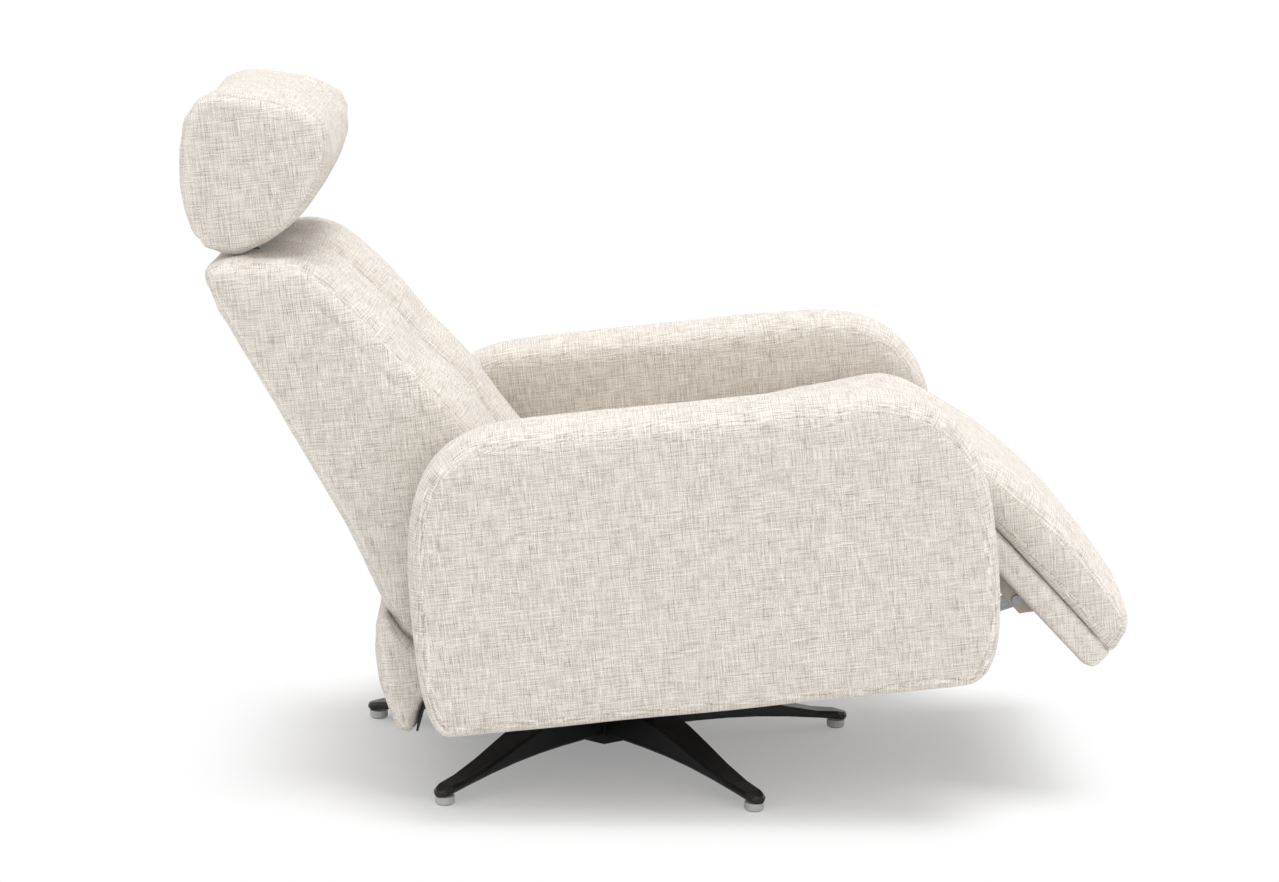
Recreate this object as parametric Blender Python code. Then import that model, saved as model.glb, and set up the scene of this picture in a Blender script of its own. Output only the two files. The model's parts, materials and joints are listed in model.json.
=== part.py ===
"""Swivel recliner: upholstered arms, back, headrest and leg rest on a five-leg star base.

The seat shell is drawn level and then leans back on its tilt pin, as it does when a sitter leans.
The origin is on the floor, under the middle of the whole chair. Front is -Y, up is +Z.
"""

import math

import bmesh
import bpy
from mathutils import Vector

# General clearances
GAP = 0.0003            # between faces that touch
PIVOT_GAP = 0.0005      # between plates that turn beside each other
OVERRUN = 0.010         # how far a cutter runs past the face it opens

# Star base
STAR_RADIUS = 0.364     # hub axis to the middle of a glide
LEG_COUNT = 5
LEG_TURN = math.radians(-2.4)
LEG_WIDTH_HUB = 0.066
LEG_WIDTH_TIP = 0.030
LEG_TOP_HUB = 0.082
LEG_TOP_TIP = 0.0265
LEG_UNDER_HUB = 0.030
LEG_UNDER_TIP = 0.0125
LEG_ARCH = 0.010        # how far the blade's belly rises between hub and tip
LEG_TOP_POWER = 2.2     # how soon the blade's top falls away from the hub
LEG_TIP_SQUARE = 0.9    # how much of the tip's width is rounded away
LEG_BEVEL = 0.004
HUB_UNDER = 0.018
HUB_TOP = 0.092
HUB_FLANGE_RADIUS = 0.085
HUB_FLANGE_THICKNESS = 0.005
HUB_BOSS_RADIUS = 0.040
LEG_SEAT = 0.050        # flat on the hub's side, from the axis
GLIDE_RADIUS = 0.0135
GLIDE_HEIGHT = 0.0120
GLIDE_BEVEL = 0.0025
LEG_BOLT_RADIUS = 0.004
LEG_BOLT_HEAD = 0.0075
LEG_BOLT_HEAD_HEIGHT = 0.004
LEG_BOLT_FOOT_Z = 0.055
LEG_BOLT_INSET = 0.012  # from the hub's flat to the bolt, along the leg

# Swivel column
POST_RADIUS = 0.016
POST_TOP = 0.132
BEARING_RADIUS = 0.036
BEARING_HEIGHT = 0.010
SLEEVE_RADIUS = 0.030
YOKE_LOW_Z = 0.1345
CHEEK_BEVEL = 0.002
YOKE_HALF_LENGTH = 0.060
YOKE_HALF_WIDTH = 0.052
YOKE_PLATE = 0.008
CHEEK_THICKNESS = 0.007
CHEEK_HALF_LENGTH = 0.030

# Tilt pin
TILT_AXIS_Z = 0.190
TILT_REST = math.radians(6.4)
TILT_PIN_RADIUS = 0.009
TILT_BUSH_RADIUS = 0.017

# Chassis rails
RAIL_Z = 0.183
RAIL_DEPTH = 0.036
RAIL_WIDTH = 0.030
FRONT_RAIL_Y = -0.175
REAR_RAIL_Y = 0.055
KEEL_RISE = 0.006
TILT_PIN_OVERHANG = 0.004
KEEL_X = 0.064          # the two fore-and-aft rails that hold the tilt pin
KEEL_WIDTH = 0.016
FLANGE_THICKNESS = 0.005
FLANGE_HALF_LENGTH = 0.045
FLANGE_HEIGHT = 0.060
ARM_BOLT_RADIUS = 0.004
ARM_BOLT_HEAD = 0.007
ARM_BOLT_HEAD_HEIGHT = 0.004
ARM_BOLT_SPREAD = 0.030

# Arms
ARM_INNER_X = 0.270
ARM_THICKNESS = 0.125
ARM_FRONT_Y = -0.534
ARM_REAR_Y = 0.256
ARM_BOTTOM_Z = 0.148
ARM_TOP_Z = 0.560
ARM_FRONT_CROWN_Z = 0.317
ARM_REAR_CROWN_Z = 0.300
ARM_TOP_FRONT_REACH = 0.234
ARM_TOP_REAR_REACH = 0.206
ARM_TOE_REACH = 0.060
ARM_HEEL_REACH = 0.030
ARM_TOP_POWER = 3.2
ARM_TOE_POWER = 2.6
ARM_EDGE_ROUND = 0.026
ARM_CORE_THICKNESS = 0.018

# Seat
KNEE_Y = -0.445
KNEE_Z = 0.395
KNEE_RADIUS = 0.084
SEAT_HALF_WIDTH = 0.262
SEAT_REAR_Y = 0.050
SEAT_SLOPE = math.tan(math.radians(6.6))
SEAT_CREST = 0.003
SEAT_RAIL_WIDTH = 0.022
SEAT_RAIL_OUTER_X = 0.250
SEAT_RAIL_DEPTH = 0.052
SEAT_END_RAIL_WIDTH = 0.025
SEAT_END_RAIL_DEPTH = 0.024
SEAT_FRONT_RAIL_Y = -0.408
SEAT_REAR_RAIL_Y = 0.035
SEAT_UNDER_Z = 0.3945    # underside of the cushion at the front rail
STRAP_THICKNESS = 0.003
STRAP_WIDTH = 0.050
STRAP_COUNT = 5
STRAP_PITCH = 0.085
CROSS_STRAP_COUNT = 3
SEAT_FOOT_DEPTH = 0.012
SEAT_POST_X = 0.239
SEAT_POST_WIDTH = 0.014
SEAT_POST_DEPTH = 0.024
SEAT_REAR_POST_Y = 0.042
CUSHION_EDGE = 0.030

# Leg rest, measured along and out from the knee hinge
LEG_REST_SLOPE = math.radians(52.4)
LEG_REST_LENGTH = 0.362
BOARD_START = 0.088
BOARD_UNDER = 0.008
BOARD_THICKNESS = 0.0295
BOARD_HALF_WIDTH = 0.246
PAD_GAP = 0.001
PAD_THICKNESS = 0.081
PAD_HALF_WIDTH = 0.250
PAD_START_ANGLE = math.radians(58.0)

# Leg-rest linkage, in lanes that lie side by side across the chair
PLATE_THICKNESS = 0.004
HINGE_LANE_X = 0.2235
BRACKET_LANE_X = 0.2190
LINK_LANE_X = 0.2145
CRANK_LANE_X = 0.2100
LINK_RUN_Y = 0.200       # crank pivot behind the knee pivot
LINK_DROP_Z = 0.045      # and below it
BRACKET_ALONG = 0.2176   # knee pivot to the link pin, along the bracket
BRACKET_OUT = -0.006
PLATE_HALF_HEIGHT = 0.010
PIN_RADIUS = 0.004
PIN_HEAD = 0.007
PIN_HEAD_HEIGHT = 0.0025
CRANK_TUBE_RADIUS = 0.009
CRANK_HALF_HEIGHT = 0.013
HINGE_PLATE_HALF = 0.010
NOSE_UNDER = 0.012       # underside of the cushion's nose above the knee pivot

# Back, measured along and forward from the recline pivot
RECLINE_Y = 0.185
RECLINE_Z = 0.350
BACK_LEAN = math.radians(24.0)
BACK_LENGTH = 0.536
BACK_DEPTH = 0.112
BACK_HALF_WIDTH = 0.256
BACK_SWEEP_RADIUS = 0.125
BACK_SWEEP_START = math.radians(206.0)
BACK_SWEEP_END = math.radians(328.0)
COVER_HEM_ANGLE = math.radians(196.0)
BACK_COVER_THICKNESS = 0.020
BACK_SEAM_DEPTH = 0.014
BACK_SEAM_WIDTH = 0.050
STILE_WIDTH = 0.022
STILE_OUTER_X = 0.232
RAIL_TOP_DROP = 0.096    # top rail's middle below the back's top
RAIL_TOP_ALONG = BACK_LENGTH - RAIL_TOP_DROP
RAIL_LOW_ALONG = 0.170
BACK_RAIL_HEIGHT = 0.045
BACK_RAIL_FORWARD = -0.0815
BACK_RAIL_THICKNESS = 0.020
SLOT_GROW = 0.0008       # foam slots stand this much clear of the wood in them
RECLINE_PIN_HEAD = 0.012
RECLINE_PIN_HEAD_HEIGHT = 0.004
RECLINE_PIN_RADIUS = 0.008
RECLINE_PLATE = 0.004
RECLINE_PLATE_RADIUS = 0.030

# Headrest, measured in the back's own directions from its hinge
HEAD_HINGE_RISE = 0.009  # hinge above the back's top
HEAD_HINGE_ALONG = BACK_LENGTH + HEAD_HINGE_RISE
HEAD_HINGE_FORWARD = -0.045
HEAD_HALF_WIDTH = 0.215
HEAD_HEIGHT = 0.210
HEAD_DEPTH = 0.165
HEAD_EDGE = 0.028
HEAD_WING = 0.012
RATCHET_X = 0.120
RATCHET_WIDTH = 0.010
RATCHET_RADIUS = 0.009
HEAD_BOARD_HALF = 0.170
HEAD_EAR_THICKNESS = 0.005
HEAD_SLOT_HALF = 0.022
HEAD_SLOT_TOP = 0.034

# Rear apron
APRON_HALF_WIDTH = 0.2692
APRON_FRONT_Y = 0.243
APRON_DEPTH = 0.078
APRON_TOP_Z = 0.300
APRON_BOTTOM_Z = 0.121
APRON_EDGE = 0.008

SWIVEL_Y = 0.0689        # swivel axis behind the middle of the chair

# Outline shares: how far along a piece and how far out from its reference line
INSET_TRIES = 6         # times that a crossed outline is drawn in half as far
THIN_SHARE = 0.30       # most of an outline's thickness that a rounded side draws in
TIGHT_SHARE = 0.60      # most of a corner's radius
LEG_STATION_SHARES = (0.25, 0.4, 0.55, 0.7, 0.85, 0.95, 0.985, 1.0)
LEG_ROUND_SHARE = 0.95
SEAT_CROWN_SHARES = (0.15, 0.3, 0.45, 0.6, 0.75, 0.9)
PAD_TOP_SHARES = ((0.014, 1.13), (0.170, 1.30), (0.388, 1.44), (0.635, 1.475), (0.830, 1.405),
                  (0.938, 1.285), (0.985, 1.06), (1.0, 0.815), (0.997, 0.64), (0.970, 0.515))
BACK_REAR_SHARES = ((0.980, -0.865), (0.950, -0.920), (0.890, -0.968), (0.597, -0.990), (0.384, -1.000),
                    (0.250, -0.985), (0.165, -0.990), (0.020, -1.040))
BACK_FRONT_SHARES = ((-0.090, 1.030), (0.020, 1.120), (0.077, 1.143), (0.150, 1.080), (0.241, 1.012),
                     (0.349, 0.965), (0.438, 0.885), (0.538, 0.757), (0.623, 0.662), (0.720, 0.557),
                     (0.797, 0.429), (0.855, 0.340), (0.893, 0.190), (0.921, 0.005),
                     (0.945, -0.250), (0.978, -0.600), (0.986, -0.760))
HEAD_OUTLINE_SHARES = ((-0.105, -0.060), (-0.050, -0.160), (0.030, -0.262), (0.165, -0.305),
                       (0.289, -0.284), (0.435, -0.210), (0.568, -0.107), (0.691, 0.016),
                       (0.810, 0.150), (0.878, 0.290), (0.885, 0.400), (0.828, 0.560), (0.691, 0.785),
                       (0.576, 0.970), (0.503, 1.060), (0.401, 1.135), (0.289, 1.119), (0.144, 1.005),
                       (0.040, 0.865), (-0.062, 0.640), (-0.128, 0.420), (-0.135, 0.180))
STILE_SHARES = ((0.820, -0.725), (0.250, -0.775), (-0.020, -0.270), (-0.055, 0.000),
                (-0.020, 0.220), (0.080, 0.230), (0.260, -0.160), (0.820, -0.440))
APRON_SHARES = ((0.730, 1.0), (0.910, 0.920), (0.987, 0.765), (1.0, 0.603), (0.974, 0.400),
                (0.885, 0.196), (0.795, 0.050), (0.564, 0.0), (0.420, 0.050), (0.240, 0.250),
                (-0.550, 0.300), (-0.550, 0.500), (-0.100, 0.595), (0.240, 0.690), (0.540, 0.845),
                (0.720, 0.975))
STRIP_SHARES = ((0.378, 0.043), (0.414, 0.049), (0.233, 0.249), (0.197, 0.243))
HEAD_BOARD_SHARES = ((0.095, -0.061), (0.571, 0.424), (0.533, 0.485), (0.067, 0.012))
HEAD_EAR_SHARES = ((-0.048, -0.030), (-0.048, 0.036), (0.040, 0.055), (0.133, 0.070), (0.133, -0.012),
                   (0.040, -0.052))
BRACKET_SHARES = ((-0.046, -0.48), (-0.028, -1.20), (1.080, -1.65), (1.158, 0.75), (0.368, 0.75),
                  (-0.028, 0.85), (-0.046, 0.45))
CORE_SHARES = ((0.080, 0.005), (0.080, 0.560), (0.200, 0.830), (0.330, 0.890), (0.850, 0.880),
               (0.930, 0.780), (0.930, 0.005))


def clear_scene():
    for item in list(bpy.data.objects):
        bpy.data.objects.remove(item, do_unlink=True)


def finish(name, colour, roughness, metallic=0.0):
    material = bpy.data.materials.new(name)
    material.use_nodes = True
    shader = material.node_tree.nodes["Principled BSDF"]
    shader.inputs["Base Color"].default_value = (*colour, 1.0)
    shader.inputs["Roughness"].default_value = roughness
    shader.inputs["Metallic"].default_value = metallic
    return material


FINISHES = {
    "fabric": ((0.78, 0.73, 0.66), 0.95, 0.0),
    "black_metal": ((0.02, 0.02, 0.02), 0.45, 1.0),
    "steel": ((0.55, 0.55, 0.56), 0.35, 1.0),
    "grey_steel": ((0.50, 0.48, 0.44), 0.50, 1.0),
    "plywood": ((0.62, 0.47, 0.30), 0.60, 0.0),
    "rubber": ((0.03, 0.03, 0.03), 0.80, 0.0),
    "glide_plastic": ((0.72, 0.72, 0.70), 0.30, 0.0),
    "webbing": ((0.10, 0.10, 0.10), 0.90, 0.0),
}


def empty(name, location, parent=None, tilt=0.0):
    item = bpy.data.objects.new(name, None)
    bpy.context.collection.objects.link(item)
    item.parent = parent
    item.location = location
    item.rotation_euler = (tilt, 0.0, 0.0)
    return item


class Place:
    """A joint or frame: its empty and the level place that its pieces' meshes are measured from."""

    def __init__(self, name, y, z, parent=None, x=0.0):
        self.y, self.z, self.x = y, z, x
        above = (parent.x, parent.y, parent.z) if parent else (0.0, 0.0, 0.0)
        spot = (x - above[0], y - above[1], z - above[2])
        self.empty = empty(name, spot, parent.empty if parent else None)


def new_object(name, mesh_bm, kind, place, smooth_angle=35.0):
    """Turn a bmesh drawn in level chair coordinates into a named piece under its joint."""
    offset = Vector((place.x, place.y, place.z)) if place else Vector()
    bmesh.ops.translate(mesh_bm, verts=mesh_bm.verts, vec=-offset)
    bmesh.ops.recalc_face_normals(mesh_bm, faces=mesh_bm.faces)
    if mesh_bm.calc_volume(signed=True) < 0.0:
        bmesh.ops.reverse_faces(mesh_bm, faces=mesh_bm.faces)
    mesh = bpy.data.meshes.new(name)
    mesh_bm.to_mesh(mesh)
    mesh_bm.free()
    mesh.shade_smooth()
    mesh.set_sharp_from_angle(angle=math.radians(smooth_angle))
    item = bpy.data.objects.new(name, mesh)
    bpy.context.collection.objects.link(item)
    item.parent = place.empty if place else None
    mesh.materials.append(finish(name + "_finish", *FINISHES[kind]))
    return item


def cutter(name, mesh_bm, target, place):
    tool = new_object(name, mesh_bm, "steel", place)
    tool.hide_render = True
    tool.display_type = "WIRE"
    cut = target.modifiers.new(name, "BOOLEAN")
    cut.operation = "DIFFERENCE"
    cut.solver = "EXACT"
    cut.object = tool
    return tool


def share_cutter(name, tool, target):
    """Cut one more piece with a tool that already cuts another."""
    cut = target.modifiers.new(name, "BOOLEAN")
    cut.operation = "DIFFERENCE"
    cut.solver = "EXACT"
    cut.object = tool


def join_on(name, mesh_bm, target, place):
    tool = new_object(name, mesh_bm, "steel", place)
    tool.hide_render = True
    tool.display_type = "WIRE"
    weld = target.modifiers.new(name, "BOOLEAN")
    weld.operation = "UNION"
    weld.solver = "EXACT"
    weld.object = tool
    return tool


def box_bm(x_range, y_range, z_range, bevel=0.0):
    bm = bmesh.new()
    bmesh.ops.create_cube(bm, size=1.0)
    size = [high - low for low, high in (x_range, y_range, z_range)]
    middle = [(high + low) / 2 for low, high in (x_range, y_range, z_range)]
    bmesh.ops.scale(bm, vec=size, verts=bm.verts)
    bmesh.ops.translate(bm, vec=middle, verts=bm.verts)
    if bevel:
        bmesh.ops.bevel(bm, geom=list(bm.edges), offset=bevel, segments=1, profile=0.5,
                        affect="EDGES", material=-1)
    return bm


def outline_bm(points, x_range, bevel=0.0):
    """A (Y, Z) outline carried across the chair from one X to another."""
    bm = bmesh.new()
    ring = [bm.verts.new((x_range[0], y, z)) for y, z in points]
    face = bm.faces.new(ring)
    moved = bmesh.ops.extrude_face_region(bm, geom=[face])["geom"]
    top = [part for part in moved if isinstance(part, bmesh.types.BMVert)]
    bmesh.ops.translate(bm, verts=top, vec=(x_range[1] - x_range[0], 0.0, 0.0))
    bmesh.ops.recalc_face_normals(bm, faces=bm.faces)
    if bevel:
        rims = [e for e in bm.edges if abs(e.verts[0].co.x - e.verts[1].co.x) < GAP]
        bmesh.ops.bevel(bm, geom=rims, offset=bevel, segments=1, profile=0.5, affect="EDGES",
                        material=-1)
    return bm


def rod_x_bm(y, z, radius, x_range, sides=20):
    ring = [(y + radius * math.cos(2 * math.pi * i / sides), z + radius * math.sin(2 * math.pi * i / sides))
            for i in range(sides)]
    return outline_bm(ring, x_range)


def turned_bm(profile, centre=(0.0, 0.0), sides=32):
    """Spin (radius, z) points, bottom to top along the outside, round an upright axis."""
    bm = bmesh.new()
    line = [bm.verts.new((radius, 0.0, z)) for radius, z in profile]
    edges = [bm.edges.new(pair) for pair in zip(line, line[1:])]
    bmesh.ops.spin(bm, geom=line + edges, cent=(0, 0, 0), axis=(0, 0, 1), dvec=(0, 0, 0),
                   angle=2 * math.pi, steps=sides, use_merge=True, use_duplicate=False)
    bmesh.ops.remove_doubles(bm, verts=bm.verts, dist=GAP / 10)
    bmesh.ops.translate(bm, vec=(*centre, 0.0), verts=bm.verts)
    bmesh.ops.recalc_face_normals(bm, faces=bm.faces)
    return bm


def joined(*parts):
    """Put several separate closed shapes into one bmesh."""
    whole = bmesh.new()
    for part in parts:
        holder = bpy.data.meshes.new("holder")
        part.to_mesh(holder)
        part.free()
        whole.from_mesh(holder)
        bpy.data.meshes.remove(holder)
    return whole


def arc(centre, radius, start, end, count):
    """Points round a (Y, Z) centre; the angle is 0 straight up and grows towards the front."""
    steps = [start + (end - start) * i / (count - 1) for i in range(count)]
    return [(centre[0] - radius * math.sin(a), centre[1] + radius * math.cos(a)) for a in steps]


def power_corner(centre, reach, power, start, end, count, last=False):
    """A quarter of a superellipse; angle 0 points to +Y and 90 degrees points up."""
    points = []
    for i in range(count if last else count - 1):
        a = start + (end - start) * i / (count - 1)
        c, s = math.cos(a), math.sin(a)
        y = math.copysign(abs(c) ** (2 / power), c) if abs(c) > GAP else 0.0
        z = math.copysign(abs(s) ** (2 / power), s) if abs(s) > GAP else 0.0
        points.append((centre[0] + reach[0] * y, centre[1] + reach[1] * z))
    return points


def room_across(points, i, inward):
    """How far a closed outline reaches from one of its points, straight across its inside."""
    y, z = points[i]
    nearest = math.inf
    for j in range(len(points)):
        k = (j + 1) % len(points)
        if i in (j, k):
            continue
        run = (points[k][0] - points[j][0], points[k][1] - points[j][1])
        across = inward[0] * run[1] - inward[1] * run[0]
        if not across:
            continue
        to_edge = (points[j][0] - y, points[j][1] - z)
        reach = (to_edge[0] * run[1] - to_edge[1] * run[0]) / across
        along = (to_edge[0] * inward[1] - to_edge[1] * inward[0]) / across
        if reach > 0 and 0 <= along <= 1:
            nearest = min(nearest, reach)
    return nearest


def corner_radius(before, here, after):
    """Radius of the circle through three points."""
    doubled_area = abs((here[0] - before[0]) * (after[1] - before[1])
                       - (here[1] - before[1]) * (after[0] - before[0]))
    if not doubled_area:
        return math.inf
    return math.dist(before, here) * math.dist(here, after) * math.dist(before, after) / (2 * doubled_area)


def side_of(line_from, line_to, point):
    return ((line_to[0] - line_from[0]) * (point[1] - line_from[1])
            - (line_to[1] - line_from[1]) * (point[0] - line_from[0]))


def crossed_stretches(points):
    """Index lists of the shorter stretch between each pair of edges that cross."""
    count = len(points)
    found = []
    for i in range(count):
        a, b = points[i], points[(i + 1) % count]
        for j in range(i + 2, count if i else count - 1):
            c, d = points[j], points[(j + 1) % count]
            if side_of(a, b, c) * side_of(a, b, d) < 0 and side_of(c, d, a) * side_of(c, d, b) < 0:
                between = list(range(i, j + 2))
                round_the_other_way = [k % count for k in range(j, count + i + 2)]
                found.append(min(between, round_the_other_way, key=len))
    return found


def inset_outline(points, depth):
    """Move each point of a closed outline inwards, less where the outline is thin or turns tightly."""
    area = sum(a[0] * b[1] - b[0] * a[1] for a, b in zip(points, points[1:] + points[:1]))
    turn = 1.0 if area > 0 else -1.0
    count = len(points)
    inwards, depths = [], []
    for i in range(count):
        before, here, after = points[i - 1], points[i], points[(i + 1) % count]
        behind, ahead = math.dist(before, here), math.dist(here, after)
        run = [(here[k] - before[k]) / behind + (after[k] - here[k]) / ahead for k in (0, 1)]
        length = math.hypot(*run)
        inwards.append((-run[1] / length * turn, run[0] / length * turn))
        depths.append(min(depth, THIN_SHARE * room_across(points, i, inwards[i]),
                          TIGHT_SHARE * corner_radius(before, here, after)))
    for _ in range(INSET_TRIES):
        moved = [(y + across * own, z + up * own)
                 for (y, z), (across, up), own in zip(points, inwards, depths)]
        crossed = crossed_stretches(moved)
        if not crossed:
            break
        for stretch in crossed:
            for k in stretch:
                depths[k] /= 2
    return moved


def padded_bm(points, half_width, edge, stations=4, middle_steps=6, shape=None):
    """A stuffed body: an outline carried across, drawn in round both side edges.

    shape(x_share, points) may change the outline at each station, for crowns and seams.
    """
    sides = [(half_width - edge * (1 - math.sin(math.pi / 2 * i / stations)),
              edge * (1 - math.cos(math.pi / 2 * i / stations))) for i in range(stations + 1)]
    inner = half_width - edge
    middle = [(-inner + 2 * inner * i / middle_steps, 0.0) for i in range(1, middle_steps)]
    rings = [(-x, inset) for x, inset in reversed(sides)] + middle + sides
    bm = bmesh.new()
    loops = []
    for x, inset in rings:
        outline = shape(x / half_width, points) if shape else points
        if inset:
            outline = inset_outline(outline, inset)
        loops.append([bm.verts.new((x, y, z)) for y, z in outline])
    for one, two in zip(loops, loops[1:]):
        count = len(one)
        for i in range(count):
            bm.faces.new((one[i], one[(i + 1) % count], two[(i + 1) % count], two[i]))
    caps = [bm.faces.new(loops[0]), bm.faces.new(list(reversed(loops[-1])))]
    bmesh.ops.triangulate(bm, faces=caps)
    bmesh.ops.recalc_face_normals(bm, faces=bm.faces)
    return bm


def leg_point(along, out):
    """Leg-rest coordinates to level (Y, Z): along the slope from the knee, and out from it."""
    c, s = math.cos(LEG_REST_SLOPE), math.sin(LEG_REST_SLOPE)
    return (KNEE_Y - along * c - out * s, KNEE_Z - along * s + out * c)


def back_point(along, forward):
    """Back coordinates to level (Y, Z): up the back from the recline pivot, and forward."""
    c, s = math.cos(BACK_LEAN), math.sin(BACK_LEAN)
    return (RECLINE_Y + along * s - forward * c, RECLINE_Z + along * c + forward * s)


def head_point(along, forward):
    return back_point(HEAD_HINGE_ALONG + along, HEAD_HINGE_FORWARD + forward)


def stepped_rod_bm(y, z, steps, sides=16):
    """A turned rod along X; steps are (x, radius) from one end to the other."""
    bm = bmesh.new()
    loops = []
    for x, radius in steps:
        turn = [2 * math.pi * i / sides for i in range(sides)]
        loops.append([bm.verts.new((x, y + radius * math.cos(a), z + radius * math.sin(a))) for a in turn])
    for one, two in zip(loops, loops[1:]):
        for i in range(sides):
            bm.faces.new((one[i], one[(i + 1) % sides], two[(i + 1) % sides], two[i]))
    bm.faces.new(loops[0])
    bm.faces.new(list(reversed(loops[-1])))
    bmesh.ops.recalc_face_normals(bm, faces=bm.faces)
    return bm


def span(side, low, high):
    """An X range on the right (side 1) or the left (side -1)."""
    return (side * low, side * high) if side > 0 else (side * high, side * low)


def lane(side, inner):
    return span(side, inner, inner + PLATE_THICKNESS)


def rounded_bar(first, second, radius, steps=8):
    """A flat bar's outline, round at both ends, between two (Y, Z) centres."""
    heading = math.atan2(second[1] - first[1], second[0] - first[0])
    ends = []
    for centre, start in ((second, heading - math.pi / 2), (first, heading + math.pi / 2)):
        for i in range(steps + 1):
            a = start + math.pi * i / steps
            ends.append((centre[0] + radius * math.cos(a), centre[1] + radius * math.sin(a)))
    return ends


SIDES = (("left", 1), ("right", -1))
KNEE = (KNEE_Y, KNEE_Z)
CRANK_PIVOT = (KNEE_Y + LINK_RUN_Y, KNEE_Z - LINK_DROP_Z)
LINK_FRONT = leg_point(BRACKET_ALONG, BRACKET_OUT)
LINK_REAR = (LINK_FRONT[0] + LINK_RUN_Y, LINK_FRONT[1] - LINK_DROP_Z)


# Star base

def leg_bm():
    """One blade of the star, drawn along +X from the hub's flat to its tip."""
    start = LEG_SEAT + GAP
    flat_end = HUB_FLANGE_RADIUS
    tip = STAR_RADIUS + LEG_WIDTH_TIP / 2
    bm = bmesh.new()
    loops = []
    stations = (0.0, (flat_end - start) / (tip - start)) + LEG_STATION_SHARES
    for share in stations:
        r = start + (tip - start) * share
        past_flat = max(0.0, (r - flat_end) / (tip - flat_end))
        end_round = max(0.0, (share - LEG_ROUND_SHARE) / (1 - LEG_ROUND_SHARE))
        width = LEG_WIDTH_HUB + (LEG_WIDTH_TIP - LEG_WIDTH_HUB) * min(1.0, share / LEG_ROUND_SHARE)
        width *= math.sqrt(max(0.0, 1 - (end_round * LEG_TIP_SQUARE) ** 2))
        high = LEG_TOP_HUB + (LEG_TOP_TIP - LEG_TOP_HUB) * math.sin(past_flat * math.pi / 2) ** LEG_TOP_POWER
        low = LEG_UNDER_HUB + (LEG_UNDER_TIP - LEG_UNDER_HUB) * share
        low += LEG_ARCH * math.sin(math.pi * share)
        high -= LEG_BEVEL * end_round
        w, b = width / 2, LEG_BEVEL
        ring = [(-w, low + b), (-w + b, low), (w - b, low), (w, low + b),
                (w, high - b), (w - b, high), (-w + b, high), (-w, high - b)]
        loops.append([bm.verts.new((r, y, z)) for y, z in ring])
    for one, two in zip(loops, loops[1:]):
        for i in range(len(one)):
            bm.faces.new((one[i], one[(i + 1) % len(one)], two[(i + 1) % len(one)], two[i]))
    bm.faces.new(loops[0])
    bm.faces.new(list(reversed(loops[-1])))
    return bm


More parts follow.
